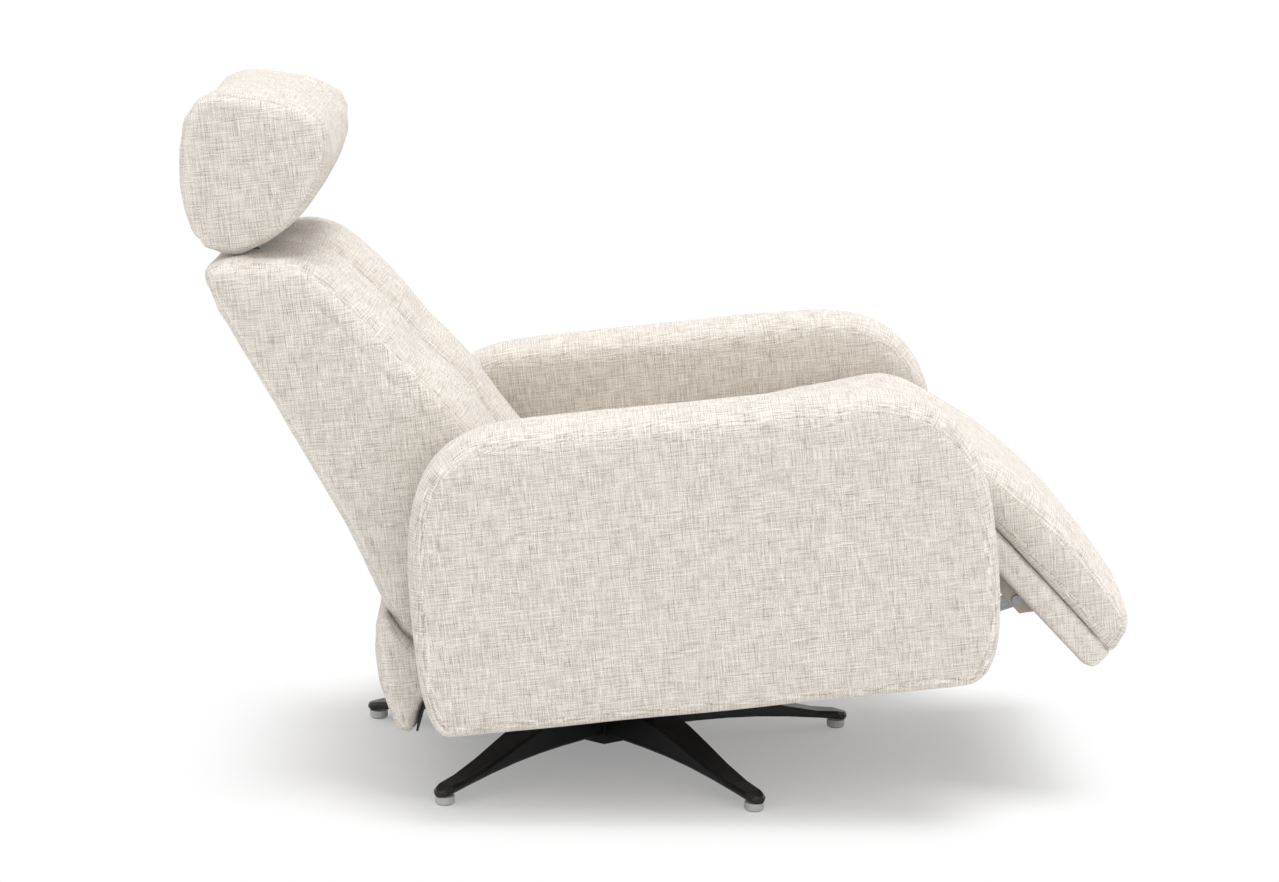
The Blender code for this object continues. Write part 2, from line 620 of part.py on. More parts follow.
def build_base(star):
    hub_bottom, plate_low = HUB_UNDER, LEG_TOP_HUB + GAP
    plate_high = plate_low + HUB_FLANGE_THICKNESS
    corner = LEG_SEAT / math.cos(math.pi / LEG_COUNT)
    hub = bmesh.new()
    turn = LEG_TURN + math.pi / LEG_COUNT
    ring = [(corner * math.cos(turn + 2 * math.pi * i / LEG_COUNT),
             corner * math.sin(turn + 2 * math.pi * i / LEG_COUNT)) for i in range(LEG_COUNT)]
    face = hub.faces.new([hub.verts.new((x, y, hub_bottom)) for x, y in ring])
    raised = bmesh.ops.extrude_face_region(hub, geom=[face])["geom"]
    bmesh.ops.translate(hub, vec=(0, 0, LEG_TOP_HUB - hub_bottom),
                        verts=[part for part in raised if isinstance(part, bmesh.types.BMVert)])
    hub_item = new_object("base_hub", hub, "black_metal", star)
    bore = turned_bm([(0.0, hub_bottom - OVERRUN), (POST_RADIUS + GAP, hub_bottom - OVERRUN),
                      (POST_RADIUS + GAP, HUB_TOP + OVERRUN), (0.0, HUB_TOP + OVERRUN)], sides=24)
    bore_tool = cutter("hub_bore_cut", bore, hub_item, star)

    clamp = turned_bm([(0.0, plate_low), (HUB_FLANGE_RADIUS, plate_low), (HUB_FLANGE_RADIUS, plate_high),
                       (HUB_BOSS_RADIUS, plate_high), (HUB_BOSS_RADIUS, HUB_TOP), (0.0, HUB_TOP)], sides=40)
    clamp_item = new_object("hub_clamp_plate", clamp, "black_metal", star)
    bolt_reach = LEG_SEAT + LEG_BOLT_INSET + LEG_BOLT_HEAD
    for i in range(LEG_COUNT):
        heading = LEG_TURN + 2 * math.pi * i / LEG_COUNT
        leg = new_object(f"base_leg_{i + 1}", leg_bm(), "black_metal", star)
        leg.rotation_euler = (0.0, 0.0, heading)
        spot = (bolt_reach * math.cos(heading), bolt_reach * math.sin(heading))
        hole = turned_bm([(0.0, LEG_BOLT_FOOT_Z - GAP), (LEG_BOLT_RADIUS + GAP, LEG_BOLT_FOOT_Z - GAP),
                          (LEG_BOLT_RADIUS + GAP, LEG_TOP_HUB + OVERRUN),
                          (0.0, LEG_TOP_HUB + OVERRUN)], centre=spot, sides=12)
        cutter(f"leg_bolt_cut_{i + 1}", hole, leg, star)
        stud = turned_bm([(0.0, LEG_BOLT_FOOT_Z), (LEG_BOLT_RADIUS, LEG_BOLT_FOOT_Z),
                          (LEG_BOLT_RADIUS, plate_high), (LEG_BOLT_HEAD, plate_high - GAP),
                          (LEG_BOLT_HEAD, plate_high + LEG_BOLT_HEAD_HEIGHT),
                          (0.0, plate_high + LEG_BOLT_HEAD_HEIGHT)], centre=spot, sides=12)
        join_on(f"clamp_bolt_{i + 1}", stud, clamp_item, star)
        foot = (STAR_RADIUS * math.cos(heading), STAR_RADIUS * math.sin(heading))
        glide = turned_bm([(0.0, 0.0), (GLIDE_RADIUS - GLIDE_BEVEL, 0.0), (GLIDE_RADIUS, GLIDE_BEVEL),
                           (GLIDE_RADIUS, GLIDE_HEIGHT), (0.0, GLIDE_HEIGHT)], centre=foot, sides=24)
        new_object(f"glide_{i + 1}", glide, "glide_plastic", star)
    share_cutter("clamp_bore", bore_tool, clamp_item)

    post = turned_bm([(0.0, hub_bottom + GAP), (POST_RADIUS, hub_bottom + GAP), (POST_RADIUS, POST_TOP),
                      (0.0, POST_TOP)], sides=24)
    new_object("swivel_post", post, "steel", star)


def build_turntable(star):
    low = HUB_TOP + GAP
    ring = turned_bm([(POST_RADIUS + GAP, low), (BEARING_RADIUS, low),
                      (BEARING_RADIUS, low + BEARING_HEIGHT), (POST_RADIUS + GAP, low + BEARING_HEIGHT),
                      (POST_RADIUS + GAP, low)], sides=32)
    new_object("thrust_bearing", ring, "steel", star)
    sleeve_low = low + BEARING_HEIGHT + GAP
    bore = POST_RADIUS + PIVOT_GAP
    sleeve = turned_bm([(0.0, POST_TOP + PIVOT_GAP), (bore, POST_TOP + PIVOT_GAP), (bore, sleeve_low),
                        (SLEEVE_RADIUS, sleeve_low), (SLEEVE_RADIUS, YOKE_LOW_Z - GAP),
                        (0.0, YOKE_LOW_Z - GAP)], sides=32)
    new_object("swivel_housing", sleeve, "black_metal", star)

    yoke = new_object("tilt_yoke", box_bm((-YOKE_HALF_WIDTH, YOKE_HALF_WIDTH),
                                          (-YOKE_HALF_LENGTH, YOKE_HALF_LENGTH),
                                          (YOKE_LOW_Z, YOKE_LOW_Z + YOKE_PLATE)), "black_metal", star)
    for name, side in SIDES:
        cheek = box_bm(span(side, YOKE_HALF_WIDTH - CHEEK_THICKNESS, YOKE_HALF_WIDTH),
                       (-CHEEK_HALF_LENGTH, CHEEK_HALF_LENGTH),
                       (YOKE_LOW_Z + YOKE_PLATE / 2, TILT_AXIS_Z + TILT_BUSH_RADIUS), bevel=CHEEK_BEVEL)
        join_on(f"yoke_cheek_{name}", cheek, yoke, star)
    cutter("yoke_pin_cut", rod_x_bm(0.0, TILT_AXIS_Z, TILT_PIN_RADIUS + GAP,
                                    (-YOKE_HALF_WIDTH - OVERRUN, YOKE_HALF_WIDTH + OVERRUN)), yoke, star)
    inside = YOKE_HALF_WIDTH - CHEEK_THICKNESS - GAP
    bush = outline_ring_bm(0.0, TILT_AXIS_Z, TILT_PIN_RADIUS + GAP, TILT_BUSH_RADIUS, (-inside, inside))
    new_object("tilt_rubber_bush", bush, "rubber", star)


def outline_ring_bm(y, z, inner, outer, x_range, sides=24):
    """A plain sleeve along X."""
    bm = bmesh.new()
    loops = []
    for x, radius in ((x_range[0], outer), (x_range[1], outer), (x_range[1], inner), (x_range[0], inner)):
        turn = [2 * math.pi * i / sides for i in range(sides)]
        loops.append([bm.verts.new((x, y + radius * math.cos(a), z + radius * math.sin(a))) for a in turn])
    for one, two in zip(loops, loops[1:] + loops[:1]):
        for i in range(sides):
            bm.faces.new((one[i], one[(i + 1) % sides], two[(i + 1) % sides], two[i]))
    bmesh.ops.recalc_face_normals(bm, faces=bm.faces)
    return bm


# Chassis and arms

def arm_outline():
    front_y, rear_y = ARM_FRONT_Y, ARM_REAR_Y
    top, bottom = ARM_TOP_Z, ARM_BOTTOM_Z
    quarter = math.pi / 2
    centre_front = (front_y + ARM_TOP_FRONT_REACH, ARM_FRONT_CROWN_Z)
    centre_rear = (rear_y - ARM_TOP_REAR_REACH, ARM_REAR_CROWN_Z)
    toe = (front_y + ARM_TOE_REACH, ARM_FRONT_CROWN_Z)
    heel = (rear_y - ARM_HEEL_REACH, ARM_REAR_CROWN_Z)
    return (power_corner(centre_rear, (ARM_TOP_REAR_REACH, top - ARM_REAR_CROWN_Z), ARM_TOP_POWER,
                         0.0, quarter, 10, last=True)
            + power_corner(centre_front, (ARM_TOP_FRONT_REACH, top - ARM_FRONT_CROWN_Z), ARM_TOP_POWER,
                           quarter, 2 * quarter, 11)
            + power_corner(toe, (ARM_TOE_REACH, ARM_FRONT_CROWN_Z - bottom), ARM_TOE_POWER,
                           2 * quarter, 3 * quarter, 8, last=True)
            + power_corner(heel, (ARM_HEEL_REACH, ARM_REAR_CROWN_Z - bottom), ARM_TOE_POWER,
                           3 * quarter, 4 * quarter, 7))


def arm_bolt_spots():
    return [(rail_y + sign * ARM_BOLT_SPREAD, RAIL_Z) for rail_y in (FRONT_RAIL_Y, REAR_RAIL_Y)
            for sign in (-1, 1)]


def arm_bolt_end():
    return ARM_INNER_X + ARM_THICKNESS / 2 + ARM_CORE_THICKNESS / 2


def core_outline(grow):
    length, height = ARM_REAR_Y - ARM_FRONT_Y, ARM_TOP_Z - ARM_BOTTOM_Z
    points = [(ARM_FRONT_Y + length * y, ARM_BOTTOM_Z + height * z) for y, z in CORE_SHARES]
    if not grow:
        return points
    grown = inset_outline(points, -grow)
    low = ARM_BOTTOM_Z - OVERRUN
    return [(grown[0][0], low)] + grown[1:-1] + [(grown[-1][0], low)]


def build_arms(chassis):
    outline = arm_outline()
    middle = ARM_INNER_X + ARM_THICKNESS / 2
    bolt_end = arm_bolt_end() + GAP
    for name, side in SIDES:
        body = padded_bm(outline, ARM_THICKNESS / 2, ARM_EDGE_ROUND, stations=4, middle_steps=2)
        bmesh.ops.translate(body, verts=body.verts, vec=(side * middle, 0.0, 0.0))
        cover = new_object(f"arm_cover_{name}", body, "fabric", chassis)
        half = ARM_CORE_THICKNESS / 2
        slot = outline_bm(core_outline(GAP), span(side, middle - half - GAP, middle + half + GAP))
        cutter(f"arm_slot_cut_{name}", slot, cover, chassis)
        core = new_object(f"arm_core_{name}", outline_bm(core_outline(0.0),
                          span(side, middle - half, middle + half)), "plywood", chassis)
        holes = [rod_x_bm(y, z, ARM_BOLT_RADIUS + GAP, span(side, ARM_INNER_X - OVERRUN, bolt_end), sides=10)
                 for y, z in arm_bolt_spots()]
        tool = cutter(f"arm_bolt_cut_{name}", joined(*holes), cover, chassis)
        share_cutter("bolt_holes", tool, core)


def build_chassis(chassis):
    flange_x = ARM_INNER_X - GAP
    rail_end = flange_x - FLANGE_THICKNESS / 2
    rail_z = (RAIL_Z - RAIL_DEPTH / 2, RAIL_Z + RAIL_DEPTH / 2)
    for label, rail_y in (("front", FRONT_RAIL_Y), ("rear", REAR_RAIL_Y)):
        rail = new_object(f"chassis_rail_{label}",
                          box_bm((-rail_end, rail_end), (rail_y - RAIL_WIDTH / 2, rail_y + RAIL_WIDTH / 2),
                                 rail_z), "black_metal", chassis)
        for name, side in SIDES:
            plate = box_bm(span(side, flange_x - FLANGE_THICKNESS, flange_x),
                           (rail_y - FLANGE_HALF_LENGTH, rail_y + FLANGE_HALF_LENGTH),
                           (RAIL_Z - FLANGE_HEIGHT / 2, RAIL_Z + FLANGE_HEIGHT / 2))
            join_on(f"{label}_flange_{name}", plate, rail, chassis)
            head_far = flange_x - FLANGE_THICKNESS
            bolts = [stepped_rod_bm(y, z, [(side * (head_far - ARM_BOLT_HEAD_HEIGHT), ARM_BOLT_HEAD),
                                           (side * (head_far + GAP), ARM_BOLT_HEAD),
                                           (side * (head_far + GAP), ARM_BOLT_RADIUS),
                                           (side * arm_bolt_end(), ARM_BOLT_RADIUS)], sides=10)
                     for y, z in arm_bolt_spots() if abs(y - rail_y) < FLANGE_HALF_LENGTH]
            join_on(f"{label}_bolts_{name}", joined(*bolts), rail, chassis)
    for name, side in SIDES:
        keel = new_object(f"chassis_keel_{name}",
                          box_bm(span(side, KEEL_X - KEEL_WIDTH / 2, KEEL_X + KEEL_WIDTH / 2),
                                 (FRONT_RAIL_Y + RAIL_WIDTH / 2 + GAP, REAR_RAIL_Y - RAIL_WIDTH / 2 - GAP),
                                 (rail_z[0] + GAP, rail_z[1] + KEEL_RISE)), "black_metal", chassis)
        cutter(f"keel_pin_cut_{name}", rod_x_bm(0.0, TILT_AXIS_Z, TILT_PIN_RADIUS + GAP,
                                                span(side, YOKE_HALF_WIDTH, KEEL_X + KEEL_WIDTH)),
               keel, chassis)
    pin_end = KEEL_X + KEEL_WIDTH / 2 + TILT_PIN_OVERHANG
    new_object("tilt_pin", rod_x_bm(0.0, TILT_AXIS_Z, TILT_PIN_RADIUS, (-pin_end, pin_end)), "steel", chassis)


# Seat

def strap_z(y):
    """Top of the seat webbing, which falls towards the back."""
    return SEAT_UNDER_Z - GAP - (y - SEAT_FRONT_RAIL_Y) * SEAT_SLOPE


def sloped_rail(y_range, depth, x_range, drop=0.0):
    top = [(y, strap_z(y) - STRAP_THICKNESS - GAP - drop) for y in y_range]
    low = [(y, z - depth) for y, z in top]
    return outline_bm([low[0], low[1], top[1], top[0]], x_range)


def seat_outline():
    nose_end = math.acos(NOSE_UNDER / KNEE_RADIUS)
    nose = arc(KNEE, KNEE_RADIUS, -math.atan(SEAT_SLOPE), nose_end, 12)
    crest = nose[0]
    rear_top = (SEAT_REAR_Y, crest[1] - (SEAT_REAR_Y - crest[0]) * SEAT_SLOPE)
    rear_mid = (SEAT_REAR_Y, strap_z(SEAT_REAR_Y) + GAP + CUSHION_EDGE / 2)
    run = SEAT_REAR_Y - crest[0]
    crown = [(crest[0] + run * share,
              crest[1] - run * share * SEAT_SLOPE + SEAT_CREST * math.sin(math.pi * share))
             for share in SEAT_CROWN_SHARES]
    lip_y = SEAT_FRONT_RAIL_Y + SEAT_END_RAIL_WIDTH
    under_y = SEAT_REAR_Y - CUSHION_EDGE / 3
    under = [(under_y, strap_z(under_y) + 2 * GAP), (lip_y, strap_z(lip_y) + 2 * GAP),
             (lip_y, KNEE_Z + NOSE_UNDER)]
    rear = [(rear_top[0] - CUSHION_EDGE / 2, rear_top[1] + CUSHION_EDGE / 2 * SEAT_SLOPE),
            (rear_top[0], rear_top[1] - CUSHION_EDGE / 2), rear_mid]
    return list(reversed(nose)) + crown + rear + under


def webbing_bm(front, back):
    """Straps that run front to back, woven through cross straps, as one flat lattice."""
    half = STRAP_WIDTH / 2
    columns = [STRAP_PITCH * (i - (STRAP_COUNT - 1) / 2) for i in range(STRAP_COUNT)]
    rows = [front + (back - front) * (i + 1) / (CROSS_STRAP_COUNT + 1) for i in range(CROSS_STRAP_COUNT)]
    xs = [x + side * half for x in columns for side in (-1, 1)]
    ys = [front] + [y + side * half for y in rows for side in (-1, 1)] + [back]
    bm = bmesh.new()
    grid = [[bm.verts.new((x, y, strap_z(y) - STRAP_THICKNESS)) for x in xs] for y in ys]
    for row in range(len(ys) - 1):
        for column in range(len(xs) - 1):
            if column % 2 == 0 or row % 2 == 1:
                bm.faces.new((grid[row][column], grid[row][column + 1],
                              grid[row + 1][column + 1], grid[row + 1][column]))
    raised = bmesh.ops.extrude_face_region(bm, geom=list(bm.faces))["geom"]
    bmesh.ops.translate(bm, vec=(0.0, 0.0, STRAP_THICKNESS),
                        verts=[part for part in raised if isinstance(part, bmesh.types.BMVert)])
    return bm


def build_seat(chassis):
    rail_inner = SEAT_RAIL_OUTER_X - SEAT_RAIL_WIDTH
    front = SEAT_FRONT_RAIL_Y - SEAT_END_RAIL_WIDTH / 2
    back = SEAT_REAR_RAIL_Y + SEAT_END_RAIL_WIDTH / 2
    post_top_drop = STRAP_THICKNESS + 2 * GAP + SEAT_RAIL_DEPTH
    for name, side in SIDES:
        new_object(f"seat_rail_{name}", sloped_rail((front, back), SEAT_RAIL_DEPTH,
                   span(side, rail_inner, SEAT_RAIL_OUTER_X)), "plywood", chassis)
        low = RAIL_Z + RAIL_DEPTH / 2 + GAP
        half = SEAT_POST_DEPTH / 2
        ends = (FRONT_RAIL_Y - half, FRONT_RAIL_Y + half, SEAT_REAR_POST_Y - half, SEAT_REAR_POST_Y + half)
        tops = [(y, strap_z(y) - post_top_drop) for y in ends]
        stand = [(ends[0], low), (ends[3], low), tops[3], tops[2], (ends[2], low + SEAT_FOOT_DEPTH),
                 (ends[1], low + SEAT_FOOT_DEPTH), tops[1], tops[0]]
        new_object(f"seat_stand_{name}", outline_bm(stand, span(side, SEAT_POST_X - SEAT_POST_WIDTH / 2,
                                                                SEAT_POST_X + SEAT_POST_WIDTH / 2)),
                   "black_metal", chassis)
        plate = rounded_bar(CRANK_PIVOT, KNEE, HINGE_PLATE_HALF)
        hinge = new_object(f"leg_hinge_plate_{name}", outline_bm(plate, lane(side, HINGE_LANE_X)),
                           "grey_steel", chassis)
        reach = span(side, HINGE_LANE_X - OVERRUN, HINGE_LANE_X + OVERRUN)
        cutter(f"hinge_plate_cut_{name}", rod_x_bm(*CRANK_PIVOT, CRANK_TUBE_RADIUS + GAP, reach, sides=20),
               hinge, chassis)
        head = BRACKET_LANE_X - GAP
        pin = stepped_rod_bm(*KNEE, [(side * (head - PIN_HEAD_HEIGHT), PIN_HEAD), (side * head, PIN_HEAD),
                                     (side * head, PIN_RADIUS),
                                     (side * (HINGE_LANE_X + PLATE_THICKNESS / 2), PIN_RADIUS)], sides=12)
        join_on(f"knee_pin_{name}", pin, hinge, chassis)
    front_end = HINGE_LANE_X - GAP
    new_object("seat_rail_front", sloped_rail((front, front + SEAT_END_RAIL_WIDTH), SEAT_END_RAIL_DEPTH,
               (-front_end, front_end)), "plywood", chassis)
    rear_end = rail_inner - GAP
    new_object("seat_rail_rear", sloped_rail((back - SEAT_END_RAIL_WIDTH, back), SEAT_END_RAIL_DEPTH,
               (-rear_end, rear_end)), "plywood", chassis)
    new_object("seat_webbing", webbing_bm(front, back), "webbing", chassis)
    cushion = padded_bm(seat_outline(), SEAT_HALF_WIDTH, CUSHION_EDGE, stations=4, middle_steps=6)
    new_object("seat_cushion", cushion, "fabric", chassis)


# Leg rest and its linkage

def pad_outline():
    """The upper pad: hollow round the knee, crowned on top, rounded at the toe."""
    radius = KNEE_RADIUS + PAD_GAP
    foot = BOARD_UNDER + BOARD_THICKNESS + PAD_GAP
    corner = leg_offset(radius, foot)
    end_angle = math.atan2(-corner[0], corner[1])
    hollow = arc(KNEE, radius, PAD_START_ANGLE, end_angle, 7)
    top = [leg_point(LEG_REST_LENGTH * a, PAD_THICKNESS * o) for a, o in PAD_TOP_SHARES]
    bottom = [leg_point(LEG_REST_LENGTH * PAD_TOP_SHARES[-1][0] - CUSHION_EDGE / 4, foot)]
    return hollow + bottom + list(reversed(top))


def leg_offset(radius, out):
    """Where the line at this height out from the knee meets a circle round the knee, from the knee."""
    y, z = leg_point(math.sqrt(radius ** 2 - out ** 2), out)
    return (y - KNEE_Y, z - KNEE_Z)


def board_outline():
    high = BOARD_UNDER + BOARD_THICKNESS
    nose = BOARD_THICKNESS / 3
    return [leg_point(a, o) for a, o in (
        (BOARD_START, BOARD_UNDER), (LEG_REST_LENGTH - nose * 2, BOARD_UNDER),
        (LEG_REST_LENGTH - nose / 2, BOARD_UNDER + nose), (LEG_REST_LENGTH - nose / 2, high - nose),
        (LEG_REST_LENGTH - nose * 2, high), (BOARD_START, high))]


def build_leg_rest(rest, crank, links):
    pad = padded_bm(pad_outline(), PAD_HALF_WIDTH, CUSHION_EDGE * 0.8, stations=4, middle_steps=5)
    new_object("footrest_cushion", pad, "fabric", rest)
    board = padded_bm(board_outline(), BOARD_HALF_WIDTH, BOARD_THICKNESS / 4, stations=2, middle_steps=2)
    new_object("footrest_board", board, "fabric", rest)
    head_near = BRACKET_LANE_X + PLATE_THICKNESS + GAP
    for name, side in SIDES:
        reach = span(side, BRACKET_LANE_X - OVERRUN, BRACKET_LANE_X + OVERRUN)
        points = [leg_point(BRACKET_ALONG * a, PLATE_HALF_HEIGHT * o) for a, o in BRACKET_SHARES]
        bracket = new_object(f"footrest_bracket_{name}", outline_bm(points, lane(side, BRACKET_LANE_X)),
                             "grey_steel", rest)
        holes = joined(rod_x_bm(*KNEE, PIN_RADIUS + GAP, reach, sides=14),
                       rod_x_bm(*LINK_FRONT, PIN_RADIUS + GAP, reach, sides=14))
        cutter(f"bracket_cut_{name}", holes, bracket, rest)

        bar = rounded_bar(LINK_FRONT, LINK_REAR, PLATE_HALF_HEIGHT)
        link = new_object(f"footrest_link_{name}", outline_bm(bar, lane(side, LINK_LANE_X)), "grey_steel",
                          links[name])
        inside = LINK_LANE_X + PLATE_THICKNESS / 2
        front_stud = stepped_rod_bm(*LINK_FRONT, [(side * inside, PIN_RADIUS), (side * head_near, PIN_RADIUS),
                                                  (side * head_near, PIN_HEAD),
                                                  (side * (head_near + PIN_HEAD_HEIGHT), PIN_HEAD)], sides=12)
        join_on(f"front_stud_{name}", front_stud, link, links[name])
        head_far = CRANK_LANE_X - GAP
        rear_stud = stepped_rod_bm(*LINK_REAR, [(side * inside, PIN_RADIUS), (side * head_far, PIN_RADIUS),
                                                (side * head_far, PIN_HEAD),
                                                (side * (head_far - PIN_HEAD_HEIGHT), PIN_HEAD)], sides=12)
        join_on(f"rear_stud_{name}", rear_stud, link, links[name])

        arm = rounded_bar(CRANK_PIVOT, LINK_REAR, CRANK_HALF_HEIGHT)
        crank_arm = new_object(f"footrest_crank_{name}", outline_bm(arm, lane(side, CRANK_LANE_X)),
                               "grey_steel", crank)
        reach = span(side, CRANK_LANE_X - OVERRUN, CRANK_LANE_X + OVERRUN)
        holes = joined(rod_x_bm(*CRANK_PIVOT, CRANK_TUBE_RADIUS + GAP, reach, sides=20),
                       rod_x_bm(*LINK_REAR, PIN_RADIUS + GAP, reach, sides=14))
        cutter(f"crank_cut_{name}", holes, crank_arm, crank)
    tube_end = HINGE_LANE_X + PLATE_THICKNESS
    tube = rod_x_bm(*CRANK_PIVOT, CRANK_TUBE_RADIUS, (-tube_end, tube_end))
    new_object("crank_tube", tube, "grey_steel", crank)


# Back

def back_rear_line(inset=0.0):
    """The rear of the back from top to bottom, or a line that far inside it."""
    return [back_point(BACK_LENGTH * a, BACK_DEPTH * f + inset) for a, f in BACK_REAR_SHARES]


def sweep_point(angle):
    """On the circle round the recline pivot that the back's lower edge follows."""
    return back_point(BACK_SWEEP_RADIUS * math.sin(angle), BACK_SWEEP_RADIUS * math.cos(angle))


def back_bottom_arc(count=11):
    span_angle = BACK_SWEEP_END - BACK_SWEEP_START
    return [sweep_point(BACK_SWEEP_START + span_angle * i / (count - 1)) for i in range(count)]


def back_cushion_outline():
    front = [back_point(BACK_LENGTH * a, BACK_DEPTH * f) for a, f in BACK_FRONT_SHARES]
    inner = back_rear_line(BACK_COVER_THICKNESS + GAP)
    return front + inner + back_bottom_arc()


def back_cover_outline():
    inner = back_rear_line(BACK_COVER_THICKNESS - GAP)
    return back_rear_line() + [sweep_point(COVER_HEM_ANGLE)] + list(reversed(inner))


def back_shape(x_share, points):
    """Draw the front in along the middle seam."""
    depth = BACK_SEAM_DEPTH * math.exp(-(x_share * BACK_HALF_WIDTH / BACK_SEAM_WIDTH) ** 2)
    count = len(BACK_FRONT_SHARES)
    shaped = []
    for i, (y, z) in enumerate(points):
        pull = depth * math.sin(math.pi * (i + 1) / (count + 1)) ** 0.6 if i < count else 0.0
        shaped.append((y + pull * math.cos(BACK_LEAN), z - pull * math.sin(BACK_LEAN)))
    return shaped


def stile_outline(grow=0.0):
    points = [back_point(BACK_LENGTH * a, BACK_DEPTH * f) for a, f in STILE_SHARES]
    if not grow:
        return points
    grown = inset_outline(points, -grow)
    behind = -BACK_DEPTH
    open_top = back_point(BACK_LENGTH * STILE_SHARES[0][0] + grow, behind)
    open_low = back_point(BACK_LENGTH * STILE_SHARES[1][0], behind)
    return [open_top, open_low] + grown[2:]


def rail_outline(along, grow=0.0):
    half = BACK_RAIL_HEIGHT / 2 + grow
    near, far = BACK_RAIL_FORWARD, BACK_RAIL_FORWARD + BACK_RAIL_THICKNESS + grow
    near = -BACK_DEPTH if grow else near
    return [back_point(along - half, near), back_point(along + half, near),
            back_point(along + half, far), back_point(along - half, far)]


def ratchet_outline(grow=0.0):
    """A flat bar from the top rail up to the headrest hinge, with a round end."""
    near = BACK_RAIL_FORWARD + BACK_RAIL_THICKNESS + GAP - grow
    far = HEAD_HINGE_FORWARD + RATCHET_RADIUS + grow
    foot = RAIL_TOP_ALONG - BACK_RAIL_HEIGHT / 2 - grow
    if grow:
        above = HEAD_HINGE_ALONG + HEAD_HEIGHT
        return [back_point(foot, near), back_point(above, near),
                back_point(above, far), back_point(foot, far)]
    points = [back_point(foot, near)]
    for i in range(9):
        a = math.pi - math.pi * i / 8
        points.append(back_point(HEAD_HINGE_ALONG + RATCHET_RADIUS * math.sin(a),
                                 HEAD_HINGE_FORWARD + RATCHET_RADIUS * math.cos(a)))
    return points + [back_point(foot, far)]


def build_back(back, chassis):
    pivot = (RECLINE_Y, RECLINE_Z)
    body = padded_bm(back_cushion_outline(), BACK_HALF_WIDTH, CUSHION_EDGE * 0.8, stations=4,
                     middle_steps=12, shape=back_shape)
    cushion = new_object("back_cushion", body, "fabric", back)
    cover = padded_bm(back_cover_outline(), BACK_HALF_WIDTH, BACK_COVER_THICKNESS / 3, stations=2,
                      middle_steps=2)
    new_object("back_cover", cover, "fabric", back)
    inner = STILE_OUTER_X - STILE_WIDTH
    tools = []
    hinge = back_point(HEAD_HINGE_ALONG, HEAD_HINGE_FORWARD)
    for name, side in SIDES:
        board = outline_bm(stile_outline(), span(side, inner, STILE_OUTER_X))
        stile = new_object(f"back_stile_{name}", board, "plywood", back)
        cutter(f"stile_pin_cut_{name}", rod_x_bm(*pivot, RECLINE_PIN_RADIUS + GAP,
                                                 span(side, inner - OVERRUN, STILE_OUTER_X + OVERRUN)),
               stile, back)
        tools.append((f"stile_slot_{name}", outline_bm(stile_outline(SLOT_GROW),
                      span(side, inner - SLOT_GROW, STILE_OUTER_X + SLOT_GROW))))
        pin_head = inner - GAP
        tools.append((f"pin_slot_{name}", stepped_rod_bm(*pivot, [
            (side * (pin_head - RECLINE_PIN_HEAD_HEIGHT - SLOT_GROW), RECLINE_PIN_HEAD + SLOT_GROW),
            (side * (inner + SLOT_GROW), RECLINE_PIN_HEAD + SLOT_GROW),
            (side * (inner + SLOT_GROW), RECLINE_PIN_RADIUS + SLOT_GROW),
            (side * (BACK_HALF_WIDTH + OVERRUN), RECLINE_PIN_RADIUS + SLOT_GROW)], sides=16)))
        tools.append((f"ratchet_slot_{name}", outline_bm(ratchet_outline(SLOT_GROW), span(
            side, RATCHET_X - RATCHET_WIDTH / 2 - SLOT_GROW, RATCHET_X + RATCHET_WIDTH / 2 + SLOT_GROW))))
        ratchet = new_object(f"headrest_ratchet_{name}", outline_bm(ratchet_outline(), span(
            side, RATCHET_X - RATCHET_WIDTH / 2, RATCHET_X + RATCHET_WIDTH / 2)), "grey_steel", back)
        cutter(f"ratchet_pin_cut_{name}", rod_x_bm(*hinge, PIN_RADIUS + GAP, span(
            side, RATCHET_X - RATCHET_WIDTH, RATCHET_X + RATCHET_WIDTH), sides=14), ratchet, back)
    rail_end = inner - GAP
    for label, along in (("top", RAIL_TOP_ALONG), ("low", RAIL_LOW_ALONG)):
        rail = outline_bm(rail_outline(along), (-rail_end, rail_end))
        new_object(f"back_rail_{label}", rail, "plywood", back)
        tools.append((f"rail_slot_{label}", outline_bm(rail_outline(along, SLOT_GROW), (-inner, inner))))
    for label, tool in tools:
        cutter(label + "_cut", tool, cushion, back)

    plate_in = ARM_INNER_X - GAP - RECLINE_PLATE
    pin_head = inner - GAP
    for name, side in SIDES:
        pin = stepped_rod_bm(*pivot, [(side * (pin_head - RECLINE_PIN_HEAD_HEIGHT), RECLINE_PIN_HEAD),
                                      (side * pin_head, RECLINE_PIN_HEAD),
                                      (side * pin_head, RECLINE_PIN_RADIUS),
                                      (side * plate_in, RECLINE_PIN_RADIUS),
                                      (side * plate_in, RECLINE_PLATE_RADIUS),
                                      (side * (ARM_INNER_X - GAP), RECLINE_PLATE_RADIUS)], sides=24)
        new_object(f"recline_pivot_{name}", pin, "grey_steel", chassis)


# Headrest

def head_shape(x_share, points):
    """The front corners come forward towards the ends, as shallow wings."""
    wing = HEAD_WING * (abs(x_share) ** 2 - 0.5)
    reach = max(f for _, f in HEAD_OUTLINE_SHARES)
    shaped = []
    for (a, f), (y, z) in zip(HEAD_OUTLINE_SHARES, points):
        push = wing * max(0.0, f / reach) ** 2
        shaped.append((y - push * math.cos(BACK_LEAN), z + push * math.sin(BACK_LEAN)))
    return shaped


